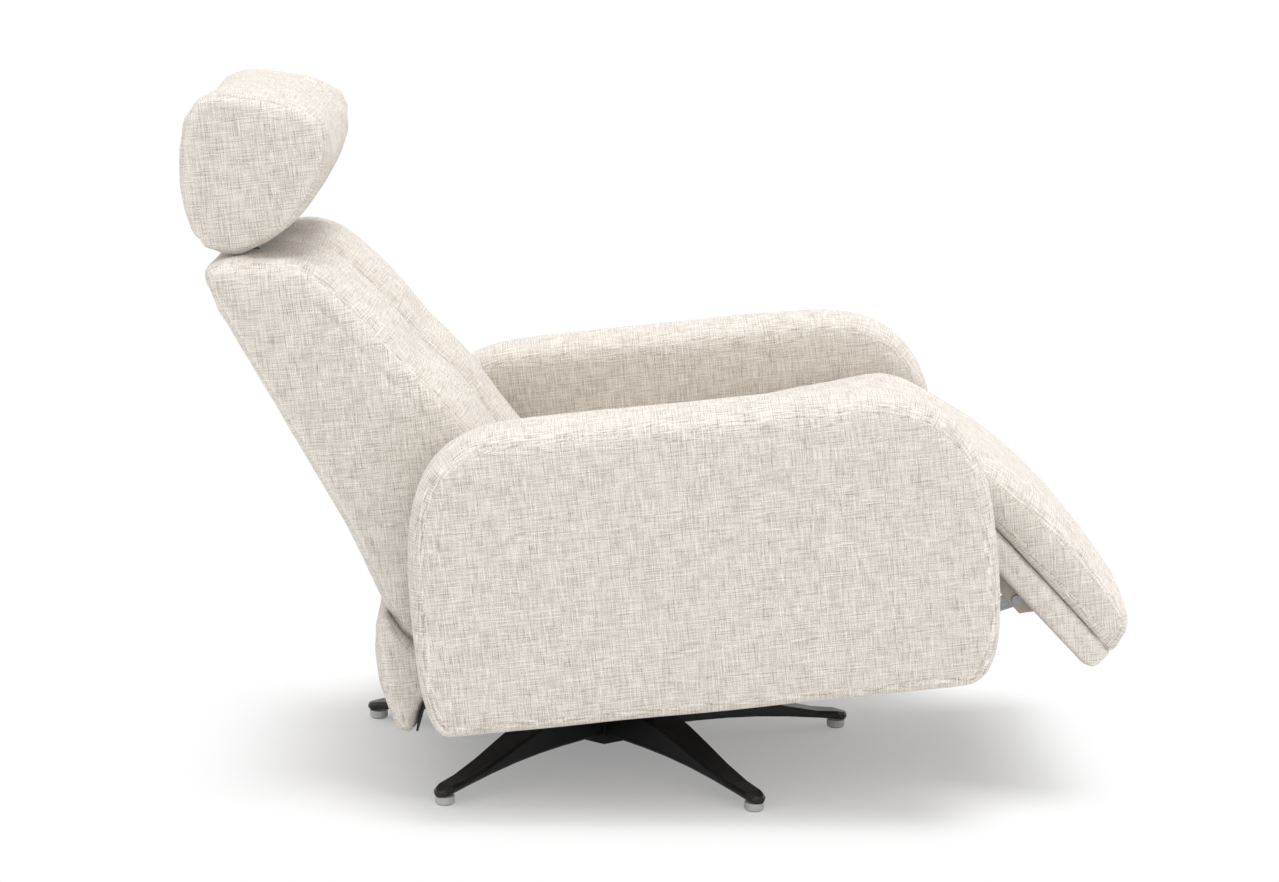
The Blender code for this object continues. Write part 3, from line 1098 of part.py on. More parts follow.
def build_headrest(head):
    outline = [head_point(HEAD_HEIGHT * a, HEAD_DEPTH * f) for a, f in HEAD_OUTLINE_SHARES]
    body = padded_bm(outline, HEAD_HALF_WIDTH, HEAD_EDGE, stations=4, middle_steps=6, shape=head_shape)
    cushion = new_object("headrest_cushion", body, "fabric", head)
    board_points = [head_point(HEAD_HEIGHT * a, HEAD_DEPTH * f) for a, f in HEAD_BOARD_SHARES]
    core = new_object("headrest_core", outline_bm(board_points, (-HEAD_BOARD_HALF, HEAD_BOARD_HALF)),
                      "plywood", head)
    down = -HEAD_HEIGHT / 4
    slot_points = inset_outline(board_points, -SLOT_GROW)
    run = (slot_points[0][0] - slot_points[1][0], slot_points[0][1] - slot_points[1][1])
    length = math.hypot(*run)
    shift = (run[0] / length * HEAD_HEIGHT / 3, run[1] / length * HEAD_HEIGHT / 3)
    slot_points[0] = (slot_points[0][0] + shift[0], slot_points[0][1] + shift[1])
    slot_points[3] = (slot_points[3][0] + shift[0], slot_points[3][1] + shift[1])
    board_half = HEAD_BOARD_HALF + SLOT_GROW
    cutter("head_board_cut", outline_bm(slot_points, (-board_half, board_half)), cushion, head)
    hinge = back_point(HEAD_HINGE_ALONG, HEAD_HINGE_FORWARD)
    ear_points = [head_point(HEAD_HEIGHT * a, HEAD_DEPTH * f) for a, f in HEAD_EAR_SHARES]
    half_slot = RATCHET_WIDTH / 2 + PIVOT_GAP
    outer = half_slot + HEAD_EAR_THICKNESS
    for name, side in SIDES:
        for label, low, high in (("in", RATCHET_X - outer, RATCHET_X - half_slot),
                                 ("out", RATCHET_X + half_slot, RATCHET_X + outer)):
            join_on(f"ear_{label}_{name}", outline_bm(ear_points, span(side, low, high)), core, head)
        space = [head_point(down, -HEAD_SLOT_HALF), head_point(down, HEAD_SLOT_HALF),
                 head_point(HEAD_SLOT_TOP, HEAD_SLOT_HALF), head_point(HEAD_SLOT_TOP, -HEAD_SLOT_HALF)]
        cutter(f"head_ear_cut_{name}", outline_bm(space, span(side, RATCHET_X - outer - SLOT_GROW,
                                                              RATCHET_X + outer + SLOT_GROW)), cushion, head)
        reach = span(side, RATCHET_X - outer - OVERRUN, RATCHET_X + outer + OVERRUN)
        cutter(f"ear_pin_cut_{name}", rod_x_bm(*hinge, PIN_RADIUS + GAP, reach, sides=14), core, head)
    reach = RATCHET_X + outer
    new_object("headrest_pin", rod_x_bm(*hinge, PIN_RADIUS, (-reach, reach), sides=12), "steel", head)
    cutter("head_pin_cut", rod_x_bm(*hinge, PIN_RADIUS + SLOT_GROW, (-reach, reach), sides=12), cushion, head)


# Rear apron

def apron_point(depth_share, height_share):
    return (APRON_FRONT_Y + APRON_DEPTH * depth_share,
            APRON_BOTTOM_Z + (APRON_TOP_Z - APRON_BOTTOM_Z) * height_share)


def build_apron(chassis):
    body = padded_bm([apron_point(*p) for p in APRON_SHARES], APRON_HALF_WIDTH, APRON_EDGE, stations=3,
                     middle_steps=2)
    new_object("rear_apron", body, "fabric", chassis)
    strip = outline_bm([apron_point(*p) for p in STRIP_SHARES], (-APRON_HALF_WIDTH, APRON_HALF_WIDTH))
    new_object("apron_strip", strip, "rubber", chassis)


def build():
    clear_scene()
    star = Place("swivel_axis", 0.0, 0.0)
    star.empty.location = (0.0, SWIVEL_Y, 0.0)
    chassis = Place("tilt_axis", 0.0, TILT_AXIS_Z, star)
    chassis.empty.rotation_euler = (-TILT_REST, 0.0, 0.0)
    rest = Place("knee_axis", *KNEE, chassis)
    crank = Place("crank_axis", *CRANK_PIVOT, chassis)
    links = {name: Place(f"link_axis_{name}", *LINK_FRONT, rest) for name, _ in SIDES}
    back = Place("recline_axis", RECLINE_Y, RECLINE_Z, chassis)
    head = Place("headrest_axis", *back_point(HEAD_HINGE_ALONG, HEAD_HINGE_FORWARD), back)

    build_base(star)
    build_turntable(star)
    build_chassis(chassis)
    build_arms(chassis)
    build_seat(chassis)
    build_leg_rest(rest, crank, links)
    build_back(back, chassis)
    build_headrest(head)
    build_apron(chassis)


build()
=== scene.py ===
"""Looks of the swivel recliner: woven upholstery over foam, a plywood frame, a steel
mechanism and a satin black star base, lit softly on a white floor."""
import json
import math

import bmesh
import bpy
import numpy as np
from mathutils import Matrix, Vector, noise


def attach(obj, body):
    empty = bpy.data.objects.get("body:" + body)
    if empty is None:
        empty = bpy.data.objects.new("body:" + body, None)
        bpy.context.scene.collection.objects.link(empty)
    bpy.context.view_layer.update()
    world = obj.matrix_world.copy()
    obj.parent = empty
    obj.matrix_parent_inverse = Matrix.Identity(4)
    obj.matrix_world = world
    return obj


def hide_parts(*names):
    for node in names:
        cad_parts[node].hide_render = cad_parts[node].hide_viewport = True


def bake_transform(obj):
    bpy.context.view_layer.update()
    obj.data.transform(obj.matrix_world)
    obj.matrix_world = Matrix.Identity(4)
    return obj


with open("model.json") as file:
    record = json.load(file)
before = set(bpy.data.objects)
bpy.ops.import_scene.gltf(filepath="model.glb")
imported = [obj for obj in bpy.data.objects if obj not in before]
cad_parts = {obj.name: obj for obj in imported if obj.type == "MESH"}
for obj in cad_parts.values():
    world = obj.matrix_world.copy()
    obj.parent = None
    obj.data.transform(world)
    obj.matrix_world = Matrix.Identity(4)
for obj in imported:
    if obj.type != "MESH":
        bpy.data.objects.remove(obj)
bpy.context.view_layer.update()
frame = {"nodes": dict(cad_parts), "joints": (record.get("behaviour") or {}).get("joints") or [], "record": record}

# The shell is drawn level, and leans back about its tilt pin. Level points are (Y, Z).
JOINTS = {joint["name"]: joint for joint in frame["joints"]}
TILT_AXIS = Vector(JOINTS["body_tilt"]["pos_m"])
TILT_REST = math.radians(JOINTS["body_tilt"]["range_deg"][1])
LEAN = (Matrix.Translation(TILT_AXIS) @ Matrix.Rotation(-TILT_REST, 4, "X")
        @ Matrix.Translation(Vector((0.0, 0.0, -TILT_AXIS.z))))

# Arms
ARM_INNER_X = 0.270
ARM_THICKNESS = 0.125
ARM_FRONT_Y, ARM_REAR_Y = -0.534, 0.256
ARM_BOTTOM_Z, ARM_TOP_Z = 0.148, 0.560
ARM_FRONT_CROWN_Z, ARM_REAR_CROWN_Z = 0.317, 0.300
ARM_TOP_FRONT_REACH, ARM_TOP_REAR_REACH = 0.234, 0.206
ARM_TOE_REACH, ARM_HEEL_REACH = 0.060, 0.030
ARM_TOP_POWER, ARM_TOE_POWER = 3.2, 2.6
ARM_ROLL = 0.034
ARM_FOOT_ROLL = 0.016
ARM_ROLL_RISE = (0.22, 0.42)        # heights between which the foot's roll grows to the full one
ARM_SEAM_INSET = 0.017
ARM_GIVE = 0.002
ARM_TOP_POINTS, ARM_LOW_POINTS = 24, 18

# Seat and leg rest
KNEE = (-0.445, 0.395)
KNEE_RADIUS = 0.084
KNEE_SHORT = math.radians(4.0)      # the knee's arc ends this much before the leg rest's slope
KNEE_POINTS = 10
SEAT_HALF_WIDTH = 0.262
SEAT_REAR_Y = 0.050
SEAT_SLOPE = math.tan(math.radians(6.6))
SEAT_UNDER_FRONT = (-0.383, 0.392)
SEAT_UNDER_REAR = (0.040, 0.344)
NOSE_UNDER, NOSE_BACK = 0.012, 0.010
LEG_SLOPE = math.radians(52.4)
LEG_LENGTH = 0.362
PAD_THICKNESS = 0.081
PAD_UNDER = 0.0395
BOARD_START = 0.088
BOARD_OVERLAP = 0.002
BOARD_UNDER = 0.001
BOARD_THICKNESS = 0.0295
BOARD_HALF_WIDTH = 0.246

# Back and headrest
RECLINE = (0.185, 0.350)
BACK_LEAN = math.radians(24.0)
BACK_LENGTH = 0.536
BACK_DEPTH = 0.112
BACK_HALF_WIDTH = 0.256
BACK_SWEEP_RADIUS = 0.125
BACK_SWEEP_START, BACK_SWEEP_TURN = 196.0, 132.0    # degrees
BACK_SWEEP_STEPS = 12
HEAD_HINGE = (0.545, -0.045)
HEAD_HALF_WIDTH = 0.215
HEAD_HEIGHT = 0.210
HEAD_DEPTH = 0.165

# Rear apron
APRON_HALF_WIDTH = 0.2692
APRON_FRONT_Y = 0.243
APRON_DEPTH = 0.078
APRON_BOTTOM_Z, APRON_TOP_Z = 0.121, 0.300

# Padding: how the covers roll over their edges, grow past their solids, and where seams run
PAD_HALF_WIDTH = 0.250
PAD_NARROWS_BEHIND, PAD_NARROWS_OVER = 0.03, 0.09   # from behind the knee, over this run
PAD_TIP_POINTS = 4
SEAT_ROLL = 0.030
SEAT_SINK = 0.004
PAD_UNDER_ROLL = 0.009
PAD_UNDER_GROWTH = 0.002
SEAT_SEAM = 0.006
SEAT_GIVE = 0.004
BACK_ROLL = 0.030
BACK_SEAM = 0.004
BACK_GIVE = 0.006
BACK_FRONT_SINK = 0.002
BACK_LIP_GROWTH = 0.006
BACK_REAR_GROWTH = 0.005
BACK_REAR_TOP_GROWTH, BACK_REAR_TOP_SHARES = 0.005, (0.85, 0.98)
BACK_REAR_LOW_GROWTH, BACK_REAR_LOW_SHARES = 0.004, (0.10, 0.30)
BACK_SWEEP_GROWTH = 0.009
VALLEY_WIDTH = 0.030
VALLEY_DEPTH = 0.038
CREST_X = 0.125
CREST_WIDTH = 0.080
CREST_RISE = 0.003
RIM_DROP = 0.006
FRONT_EASE, FOOT_EASE, SEAM_EASE = (-0.02, 0.05), (-0.06, 0.05), (-0.02, 0.02)
WAIST_ALONG = 0.275
WAIST_WIDTH = 0.034
WAIST_DEPTH = 0.012
CENTRE_SEAM_WIDTH, CENTRE_SEAM_DEPTH = 0.004, 0.004
# Painted shade down the back's centre seam, in the valley between the bolsters: its width and strength
PAINTED_CENTRE_SHADE_WIDTH, PAINTED_CENTRE_SHADE = 0.0035, 1.6
FLANK_SEAM = 0.040
FLANK_SEAM_WIDTH, FLANK_SEAM_DEPTH = 0.0035, 0.0018
FLANK_INSET, FLANK_EASE = 0.01, (0.05, 0.09)
GATHER_DEPTH, GATHER_SIZE, GATHER_EASE = 0.0016, 0.012, (0.02, 0.10)
HEAD_ROLL = 0.024
HEAD_TOP_ROLL_CUT, HEAD_TOP_ROLL_SHARES = 0.010, (0.5, 0.8)
HEAD_FOOT_GROWTH, HEAD_FOOT_UP, HEAD_FOOT_AHEAD = 0.0045, (0.0, 0.30), (0.0, 0.3)
HEAD_TOP_GROWTH, HEAD_TOP_UP, HEAD_TOP_AHEAD = 0.004, (0.55, 0.75), (0.2, 0.4)
HEAD_FRONT_SINK, HEAD_FRONT_AHEAD = 0.002, (0.2, 0.9)
HEAD_WING = 0.010
APRON_ROLL = 0.020
APRON_SEAM = 0.004
# Painted highlight: paler just inside each side panel's seam, where the cover rolls over towards the light; how
# far in it reaches, and where it fades
PAINTED_HIGHLIGHT_BAND, PAINTED_HIGHLIGHT_FADE = 0.018, (0.75, 1.15)
HELD_BAND = 0.8                     # held each side of a seam, in voxels
PUCKER_SHARE, PUCKER_SIZE = 0.12, 0.03

# Weave: noise scales of the threads, and the tones from the darkest slub to the palest
WARP_SCALE, WEFT_SCALE = 640.0, 600.0
WARP_STRETCH, WEFT_STRETCH = 0.07, 0.08
FLECK_SCALE, CLOUD_SCALE = 820.0, 40.0
SHIFT_SCALE, SHIFT_REACH = 2.3, 0.12
# The last weight is the share of painted light: a painted highlight by the seams, painted shade down the back's
# centre seam.
WEAVE_WEIGHTS = (0.33, 0.31, 0.30, 0.06, 0.018)
WEAVE_TONES = ((0.40, (132, 122, 112)), (0.46, (182, 174, 164)), (0.515, (218, 211, 202)),
               (0.58, (237, 232, 225)))

# Room and lights
FLOOR_HALF = 30.0
FLOOR_ALBEDO = 0.78
WORLD_LIGHT = 0.9
SUN_STRENGTH, SUN_ANGLE = 2.0, math.radians(30.0)
SUN_PLACE, SUN_AIM = (0.0, -0.35, 3.2), (0.0, 0.0, 0.4)
NEAR_POWER, NEAR_SIZE = 11.0, (2.4, 2.0)
NEAR_PLACE, NEAR_AIM = (-3.6, -0.8, 1.8), (0.0, 0.0, 0.5)
SHADOW_MIDDLE_Y = -0.02
SHADOW_HALF = (0.24, 0.42)
SHADOW_FADE = 0.30
SHADOW_LIFT = 0.26

# Camera, fitted to the photo
PHOTO_WIDTH = 1279
SENSOR_WIDTH = 36.0
FOCAL_PIXELS = 3007.57
CAMERA_PLACE = Vector((-4.2728, 0.1526, 1.3226))
CAMERA_YAW = math.asin(-0.029756)
CAMERA_PITCH = 0.19972
CAMERA_ROLL = 0.0168

# Outline shares: how far along a piece, and how far out from its reference line
SEAT_TOP_SHARES = (0.75, 0.5, 0.25)
PAD_UNDER_SHARES = (0.985, 0.6, 0.3)
PAD_TOP_SHARES = ((0.170, 1.30), (0.388, 1.44), (0.635, 1.475), (0.830, 1.405), (0.938, 1.285),
                  (0.985, 1.06), (1.003, 0.815), (1.003, 0.64), (0.997, 0.52))
BACK_REAR_SHARES = ((0.980, -0.865), (0.950, -0.920), (0.890, -0.968), (0.597, -0.990),
                    (0.384, -1.000), (0.250, -0.985), (0.165, -0.990), (0.020, -1.040))
BACK_FRONT_SHARES = ((-0.090, 1.030), (0.020, 1.120), (0.077, 1.143), (0.150, 1.080),
                     (0.241, 1.012), (0.349, 0.965), (0.438, 0.885), (0.538, 0.757),
                     (0.623, 0.662), (0.720, 0.557), (0.797, 0.429), (0.855, 0.340),
                     (0.893, 0.190), (0.921, 0.005), (0.945, -0.250), (0.978, -0.600),
                     (0.986, -0.760))
HEAD_SHARES = ((-0.105, -0.060), (-0.050, -0.160), (0.030, -0.262), (0.165, -0.305),
               (0.289, -0.284), (0.435, -0.210), (0.568, -0.107), (0.691, 0.016),
               (0.810, 0.150), (0.878, 0.290), (0.885, 0.400), (0.828, 0.560), (0.691, 0.785),
               (0.576, 0.970), (0.503, 1.060), (0.401, 1.135), (0.289, 1.119), (0.144, 1.005),
               (0.040, 0.865), (-0.062, 0.640), (-0.128, 0.420), (-0.135, 0.180))
APRON_SHARES = ((0.730, 1.0), (0.910, 0.920), (0.987, 0.765), (1.0, 0.603), (0.974, 0.400),
                (0.885, 0.196), (0.795, 0.050), (0.564, 0.0), (0.420, 0.050), (0.240, 0.250),
                (-0.100, 0.420), (-0.100, 0.595), (0.240, 0.690), (0.540, 0.845), (0.720, 0.975))


# Outlines

def corner_arc(centre, reach, power, start, end, count):
    """Part of a superellipse; angle 0 points to the rear and 90 degrees points up."""
    points = []
    for i in range(count):
        angle = start + (end - start) * i / (count - 1)
        c, s = math.cos(angle), math.sin(angle)
        points.append((centre[0] + reach[0] * math.copysign(abs(c) ** (2 / power), c),
                       centre[1] + reach[1] * math.copysign(abs(s) ** (2 / power), s)))
    return points


def arm_outline():
    """Four quarter curves round the arm's side: rear top, front top, toe and heel."""
    quarter = math.pi / 2
    top_reach = ARM_TOP_Z - ARM_REAR_CROWN_Z, ARM_TOP_Z - ARM_FRONT_CROWN_Z
    low_reach = ARM_REAR_CROWN_Z - ARM_BOTTOM_Z, ARM_FRONT_CROWN_Z - ARM_BOTTOM_Z
    rear_top = corner_arc((ARM_REAR_Y - ARM_TOP_REAR_REACH, ARM_REAR_CROWN_Z),
                          (ARM_TOP_REAR_REACH, top_reach[0]), ARM_TOP_POWER,
                          0.0, quarter, ARM_TOP_POINTS)
    front_top = corner_arc((ARM_FRONT_Y + ARM_TOP_FRONT_REACH, ARM_FRONT_CROWN_Z),
                           (ARM_TOP_FRONT_REACH, top_reach[1]), ARM_TOP_POWER,
                           quarter, 2 * quarter, ARM_TOP_POINTS)
    toe = corner_arc((ARM_FRONT_Y + ARM_TOE_REACH, ARM_FRONT_CROWN_Z),
                     (ARM_TOE_REACH, low_reach[1]), ARM_TOE_POWER,
                     2 * quarter, 3 * quarter, ARM_LOW_POINTS)
    heel = corner_arc((ARM_REAR_Y - ARM_HEEL_REACH, ARM_REAR_CROWN_Z),
                      (ARM_HEEL_REACH, low_reach[0]), ARM_TOE_POWER,
                      3 * quarter, 4 * quarter, ARM_LOW_POINTS)
    return rear_top[:-1] + front_top[:-1] + toe + heel[:-1]


def leg_point(along, out):
    """From the knee: along the leg rest's slope, and out from it."""
    c, s = math.cos(LEG_SLOPE), math.sin(LEG_SLOPE)
    return (KNEE[0] - along * c - out * s, KNEE[1] - along * s + out * c)


def back_point(along, forward):
    """From the recline pivot: up the back, and forward from it."""
    c, s = math.cos(BACK_LEAN), math.sin(BACK_LEAN)
    return (RECLINE[0] + along * s - forward * c, RECLINE[1] + along * c + forward * s)


def knee_arc():
    first, last = -math.atan(SEAT_SLOPE), LEG_SLOPE - KNEE_SHORT
    angles = [first + (last - first) * i / (KNEE_POINTS - 1) for i in range(KNEE_POINTS)]
    return [(KNEE[0] - KNEE_RADIUS * math.sin(a), KNEE[1] + KNEE_RADIUS * math.cos(a))
            for a in angles]


def seat_outline():
    """Seat top, over the knee, down the leg pad, and back underneath."""
    knee = knee_arc()
    crest = knee[0]
    rear_top = (SEAT_REAR_Y, crest[1] - (SEAT_REAR_Y - crest[0]) * SEAT_SLOPE)
    pad_top = [leg_point(LEG_LENGTH * a, PAD_THICKNESS * o) for a, o in PAD_TOP_SHARES]
    pad_under = [leg_point(LEG_LENGTH * a, PAD_UNDER) for a in PAD_UNDER_SHARES]
    inner = (leg_point(0.0, PAD_UNDER)[0] + NOSE_BACK, KNEE[1] + NOSE_UNDER)
    under = [inner, (SEAT_UNDER_FRONT[0], KNEE[1] + NOSE_UNDER),
             SEAT_UNDER_FRONT, SEAT_UNDER_REAR]
    middle = [(crest[0] + (rear_top[0] - crest[0]) * share,
               crest[1] + (rear_top[1] - crest[1]) * share) for share in SEAT_TOP_SHARES]
    return [rear_top] + middle + knee + pad_top + pad_under + under


def board_outline():
    """The board under the pad, with the padding that covers it."""
    high, nose = PAD_UNDER + BOARD_OVERLAP, BOARD_THICKNESS / 4
    return [leg_point(a, o) for a, o in (
        (BOARD_START, BOARD_UNDER), (LEG_LENGTH * 0.5, BOARD_UNDER),
        (LEG_LENGTH - nose * 2, BOARD_UNDER),
        (LEG_LENGTH, BOARD_UNDER + nose), (LEG_LENGTH, high - nose / 2),
        (LEG_LENGTH - nose / 2, high), (LEG_LENGTH * 0.5, high), (BOARD_START, high))]


def back_outline():
    """Front of the cushion, its rear, and the sweep round the recline pivot below."""
    front = [back_point(BACK_LENGTH * a, BACK_DEPTH * f) for a, f in BACK_FRONT_SHARES]
    rear = [back_point(BACK_LENGTH * a, BACK_DEPTH * f) for a, f in BACK_REAR_SHARES]
    angles = [math.radians(BACK_SWEEP_START + BACK_SWEEP_TURN * i / BACK_SWEEP_STEPS)
              for i in range(BACK_SWEEP_STEPS + 1)]
    low = [back_point(BACK_SWEEP_RADIUS * math.sin(a), BACK_SWEEP_RADIUS * math.cos(a))
           for a in angles]
    return front + rear + low


def head_outline():
    along, forward = HEAD_HINGE
    return [back_point(along + HEAD_HEIGHT * a, forward + HEAD_DEPTH * f) for a, f in HEAD_SHARES]


def apron_outline():
    rise = APRON_TOP_Z - APRON_BOTTOM_Z
    return [(APRON_FRONT_Y + APRON_DEPTH * d, APRON_BOTTOM_Z + rise * h) for d, h in APRON_SHARES]


# Materials

class Shader:
    """A material's nodes, drawn on Object coordinates."""

    def __init__(self, name, roughness, metallic=0.0, **values):
        self.material = bpy.data.materials.new(name)
        self.material.use_nodes = True
        self.tree = self.material.node_tree
        self.skin = self.tree.nodes["Principled BSDF"]
        self.set_value(self.skin, "Roughness", roughness)
        self.set_value(self.skin, "Metallic", metallic)
        for socket, value in values.items():
            self.set_value(self.skin, socket.replace("_", " "), value)
        self.place = self.tree.nodes.new("ShaderNodeTexCoord").outputs["Object"]

    def set_value(self, node, socket, value):
        if isinstance(value, bpy.types.NodeSocket):
            self.tree.links.new(value, node.inputs[socket])
        else:
            node.inputs[socket].default_value = value

    def node(self, kind, output=0, **inputs):
        node = self.tree.nodes.new("ShaderNode" + kind)
        for socket, value in inputs.items():
            self.set_value(node, socket.replace("_", " "), value)
        return node.outputs[output]

    def sized(self, *scale, spot=None):
        return self.node("Mapping", Vector=spot or self.place, Scale=scale)

    def sum_of(self, *parts):
        """Weighted values added up."""
        total = None
        for value, weight in parts:
            node = self.tree.nodes.new("ShaderNodeMath")
            node.operation = "MULTIPLY_ADD"
            self.set_value(node, 0, value)
            self.set_value(node, 1, weight)
            self.set_value(node, 2, total if total else 0.0)
            total = node.outputs[0]
        return total

    def ramp(self, value, *stops):
        node = self.tree.nodes.new("ShaderNodeValToRGB")
        self.set_value(node, "Fac", value)
        marks = node.color_ramp.elements
        while len(marks) < len(stops):
            marks.new(0.5)
        for mark, (position, colour) in zip(marks, stops):
            mark.position = position
            mark.color = (*colour, 1.0)
        return node.outputs["Color"]

    def noise(self, spot, scale, detail=2.0, roughness=0.5):
        return self.node("TexNoise", Vector=spot, Scale=scale, Detail=detail, Roughness=roughness)

    def bump(self, height, distance, strength=1.0):
        self.set_value(self.skin, "Normal", self.node("Bump", Height=height, Distance=distance,
                                                      Strength=strength))


def linear(*levels):
    """Screen levels from 0 to 255 as light."""
    return tuple((v / 255 / 12.92) if v <= 10 else ((v / 255 + 0.055) / 1.055) ** 2.4
                 for v in levels)


def threads(look, flat, across, stretch, scale):
    """Long thin slubs, each thread with its own start, so that they never line up in blocks."""
    own = look.noise(look.sized(*across, spot=flat), SHIFT_SCALE * scale, 0.0)
    shift = look.node("VectorMath", Vector=own)
    shift.node.operation = "MULTIPLY"
    shift.node.inputs[1].default_value = (*(0.0 if a else SHIFT_REACH for a in across[:2]), 0.0)
    moved = look.node("VectorMath", Vector=shift)
    moved.node.operation = "ADD"
    look.tree.links.new(flat, moved.node.inputs[1])
    return look.noise(look.sized(*stretch, spot=moved), scale, 2.0, 0.6)


def fabric():
    """Heathered linen weave: cream and taupe threads, with slubs both ways, plus painted light: a painted
    highlight by the seams and painted shade down the back's centre seam.
    """
    look = Shader("cream_linen_weave", 0.92, Sheen_Weight=0.18, Sheen_Roughness=0.5,
                  Specular_IOR_Level=0.25)
    map_node = look.tree.nodes.new("ShaderNodeUVMap")
    map_node.uv_map = "weave"
    flat = map_node.outputs[0]
    warp = threads(look, flat, (1.0, 0.0, 0.0), (1.0, WARP_STRETCH, 1.0), WARP_SCALE)
    weft = threads(look, flat, (0.0, 1.0, 0.0), (WEFT_STRETCH, 1.0, 1.0), WEFT_SCALE)
    flecks = look.noise(flat, FLECK_SCALE, 3.0, 0.7)
    cloud = look.noise(flat, CLOUD_SCALE, 3.0, 0.6)
    # Painted light: a painted highlight by the seams, and painted shade down the back's centre seam.
    painted_light = look.node("Attribute", output=2)
    painted_light.node.attribute_name = "painted_light"
    blend = look.sum_of(*zip((warp, weft, flecks, cloud, painted_light), WEAVE_WEIGHTS))
    tones = [(position, linear(*levels)) for position, levels in WEAVE_TONES]
    look.set_value(look.skin, "Base Color", look.ramp(blend, *tones))
    look.bump(look.sum_of((warp, 0.4), (weft, 0.4), (flecks, 0.3)), 0.0006, 0.6)
    return look.material


def satin_black():
    look = Shader("satin_black_enamel", 0.38, Specular_IOR_Level=0.5)
    grain = look.noise(look.place, 900.0, 2.0)
    look.set_value(look.skin, "Base Color", look.ramp(
        look.noise(look.place, 14.0), (0.3, (0.006, 0.006, 0.0065)), (0.7, (0.010, 0.010, 0.011))))
    look.bump(grain, 0.0003, 0.18)
    return look.material


def metal(name, dark, bright, roughness, brush):
    look = Shader(name, roughness, 1.0)
    grain = look.noise(look.sized(*brush), 240.0, 3.0)
    look.set_value(look.skin, "Base Color", look.ramp(grain, (0.35, dark), (0.65, bright)))
    look.bump(grain, 0.0002, 0.3)
    return look.material


def floor_white():
    """White card: a soft shadow near the chair, and pure white to the camera further out."""
    look = Shader("floor_white", 0.9, Specular_IOR_Level=0.0)
    look.set_value(look.skin, "Base Color", (FLOOR_ALBEDO, FLOOR_ALBEDO, FLOOR_ALBEDO, 1.0))
    glow = look.tree.nodes.new("ShaderNodeEmission")
    beyond = look.node("VectorMath", Vector=look.node("Mapping", Vector=look.place,
                                                      Location=(0.0, -SHADOW_MIDDLE_Y, 0.0)))
    beyond.node.operation = "ABSOLUTE"
    past = look.node("VectorMath", Vector=beyond)
    past.node.operation = "SUBTRACT"
    past.node.inputs[1].default_value = (*SHADOW_HALF, 1.0)
    outside = look.node("VectorMath", Vector=past)
    outside.node.operation = "MAXIMUM"
    spread = look.node("VectorMath", output=1, Vector=outside)
    spread.node.operation = "LENGTH"
    share = look.node("MapRange", Value=spread, From_Min=0.0, From_Max=SHADOW_FADE,
                      To_Min=SHADOW_LIFT, To_Max=1.0)
    share.node.interpolation_type = "SMOOTHSTEP"
    seen = look.node("LightPath", output="Is Camera Ray")
    both = look.node("Math", Value=share)
    both.node.operation = "MULTIPLY"
    look.tree.links.new(seen, both.node.inputs[1])
    mixed = look.node("MixShader", Fac=both)
    look.tree.links.new(look.skin.outputs[0], mixed.node.inputs[1])
    look.tree.links.new(glow.outputs[0], mixed.node.inputs[2])
    look.tree.links.new(mixed, look.tree.nodes["Material Output"].inputs["Surface"])
    return look.material


def plastic(name, colour, roughness):
    look = Shader(name, roughness)
    look.set_value(look.skin, "Base Color", look.ramp(
        look.noise(look.place, 60.0), (0.3, tuple(0.9 * c for c in colour)), (0.7, colour)))
    look.bump(look.noise(look.place, 1400.0), 0.0002, 0.25)
    return look.material


def painted(name, tones):
    look = Shader(name, 0.5)
    mist = look.noise(look.place, 45.0, 3.0)
    look.set_value(look.skin, "Base Color", look.ramp(mist, (0.35, tones[0]), (0.65, tones[1])))
    look.bump(look.noise(look.place, 1100.0), 0.0002, 0.2)
    return look.material


def plywood():
    look = Shader("birch_plywood", 0.55)
    plies = look.node("TexWave", output=1, Vector=look.sized(90.0, 1.5, 1.5), Scale=1.0,
                      Distortion=1.2)
    grain = look.noise(look.sized(4.0, 30.0, 4.0), 12.0, 4.0)
    look.set_value(look.skin, "Base Color", look.ramp(
        look.sum_of((plies, 0.4), (grain, 0.6)),
        (0.3, linear(176, 140, 98)), (0.7, linear(214, 184, 140))))
    look.bump(grain, 0.0004, 0.3)
    return look.material


def webbing():
    look = Shader("rubber_webbing", 0.8)
    ribs = look.node("TexWave", output=1, Vector=look.sized(1.0, 1.0, 1.0), Scale=160.0)
    look.set_value(look.skin, "Base Color", look.ramp(
        ribs, (0.3, linear(40, 38, 36)), (0.7, linear(78, 74, 70))))
    look.bump(ribs, 0.0005, 0.5)
    return look.material


LINEN = fabric()
BLACK = satin_black()
BRIGHT_STEEL = metal("bright_steel", (0.45, 0.45, 0.46), (0.62, 0.62, 0.63), 0.26, (1.0, 6.0, 1.0))
GREY_STEEL = metal("grey_steel", (0.20, 0.20, 0.205), (0.30, 0.30, 0.305), 0.42, (1.0, 1.0, 6.0))
RUBBER = plastic("black_rubber", linear(28, 28, 28), 0.75)
GLIDE = plastic("pale_glide_plastic", linear(196, 196, 194), 0.42)
PLYWOOD = plywood()
WEBBING = webbing()
BRACKET = painted("warm_grey_enamel", (linear(150, 143, 132), linear(166, 159, 148)))
SLOT_LOOKS = {"upholstery": LINEN, "satin_black": BLACK, "bright_steel": BRIGHT_STEEL,
              "grey_steel": GREY_STEEL, "plywood": PLYWOOD, "black_rubber": RUBBER,
              "glide_plastic": GLIDE, "webbing": WEBBING}


# Padded bodies

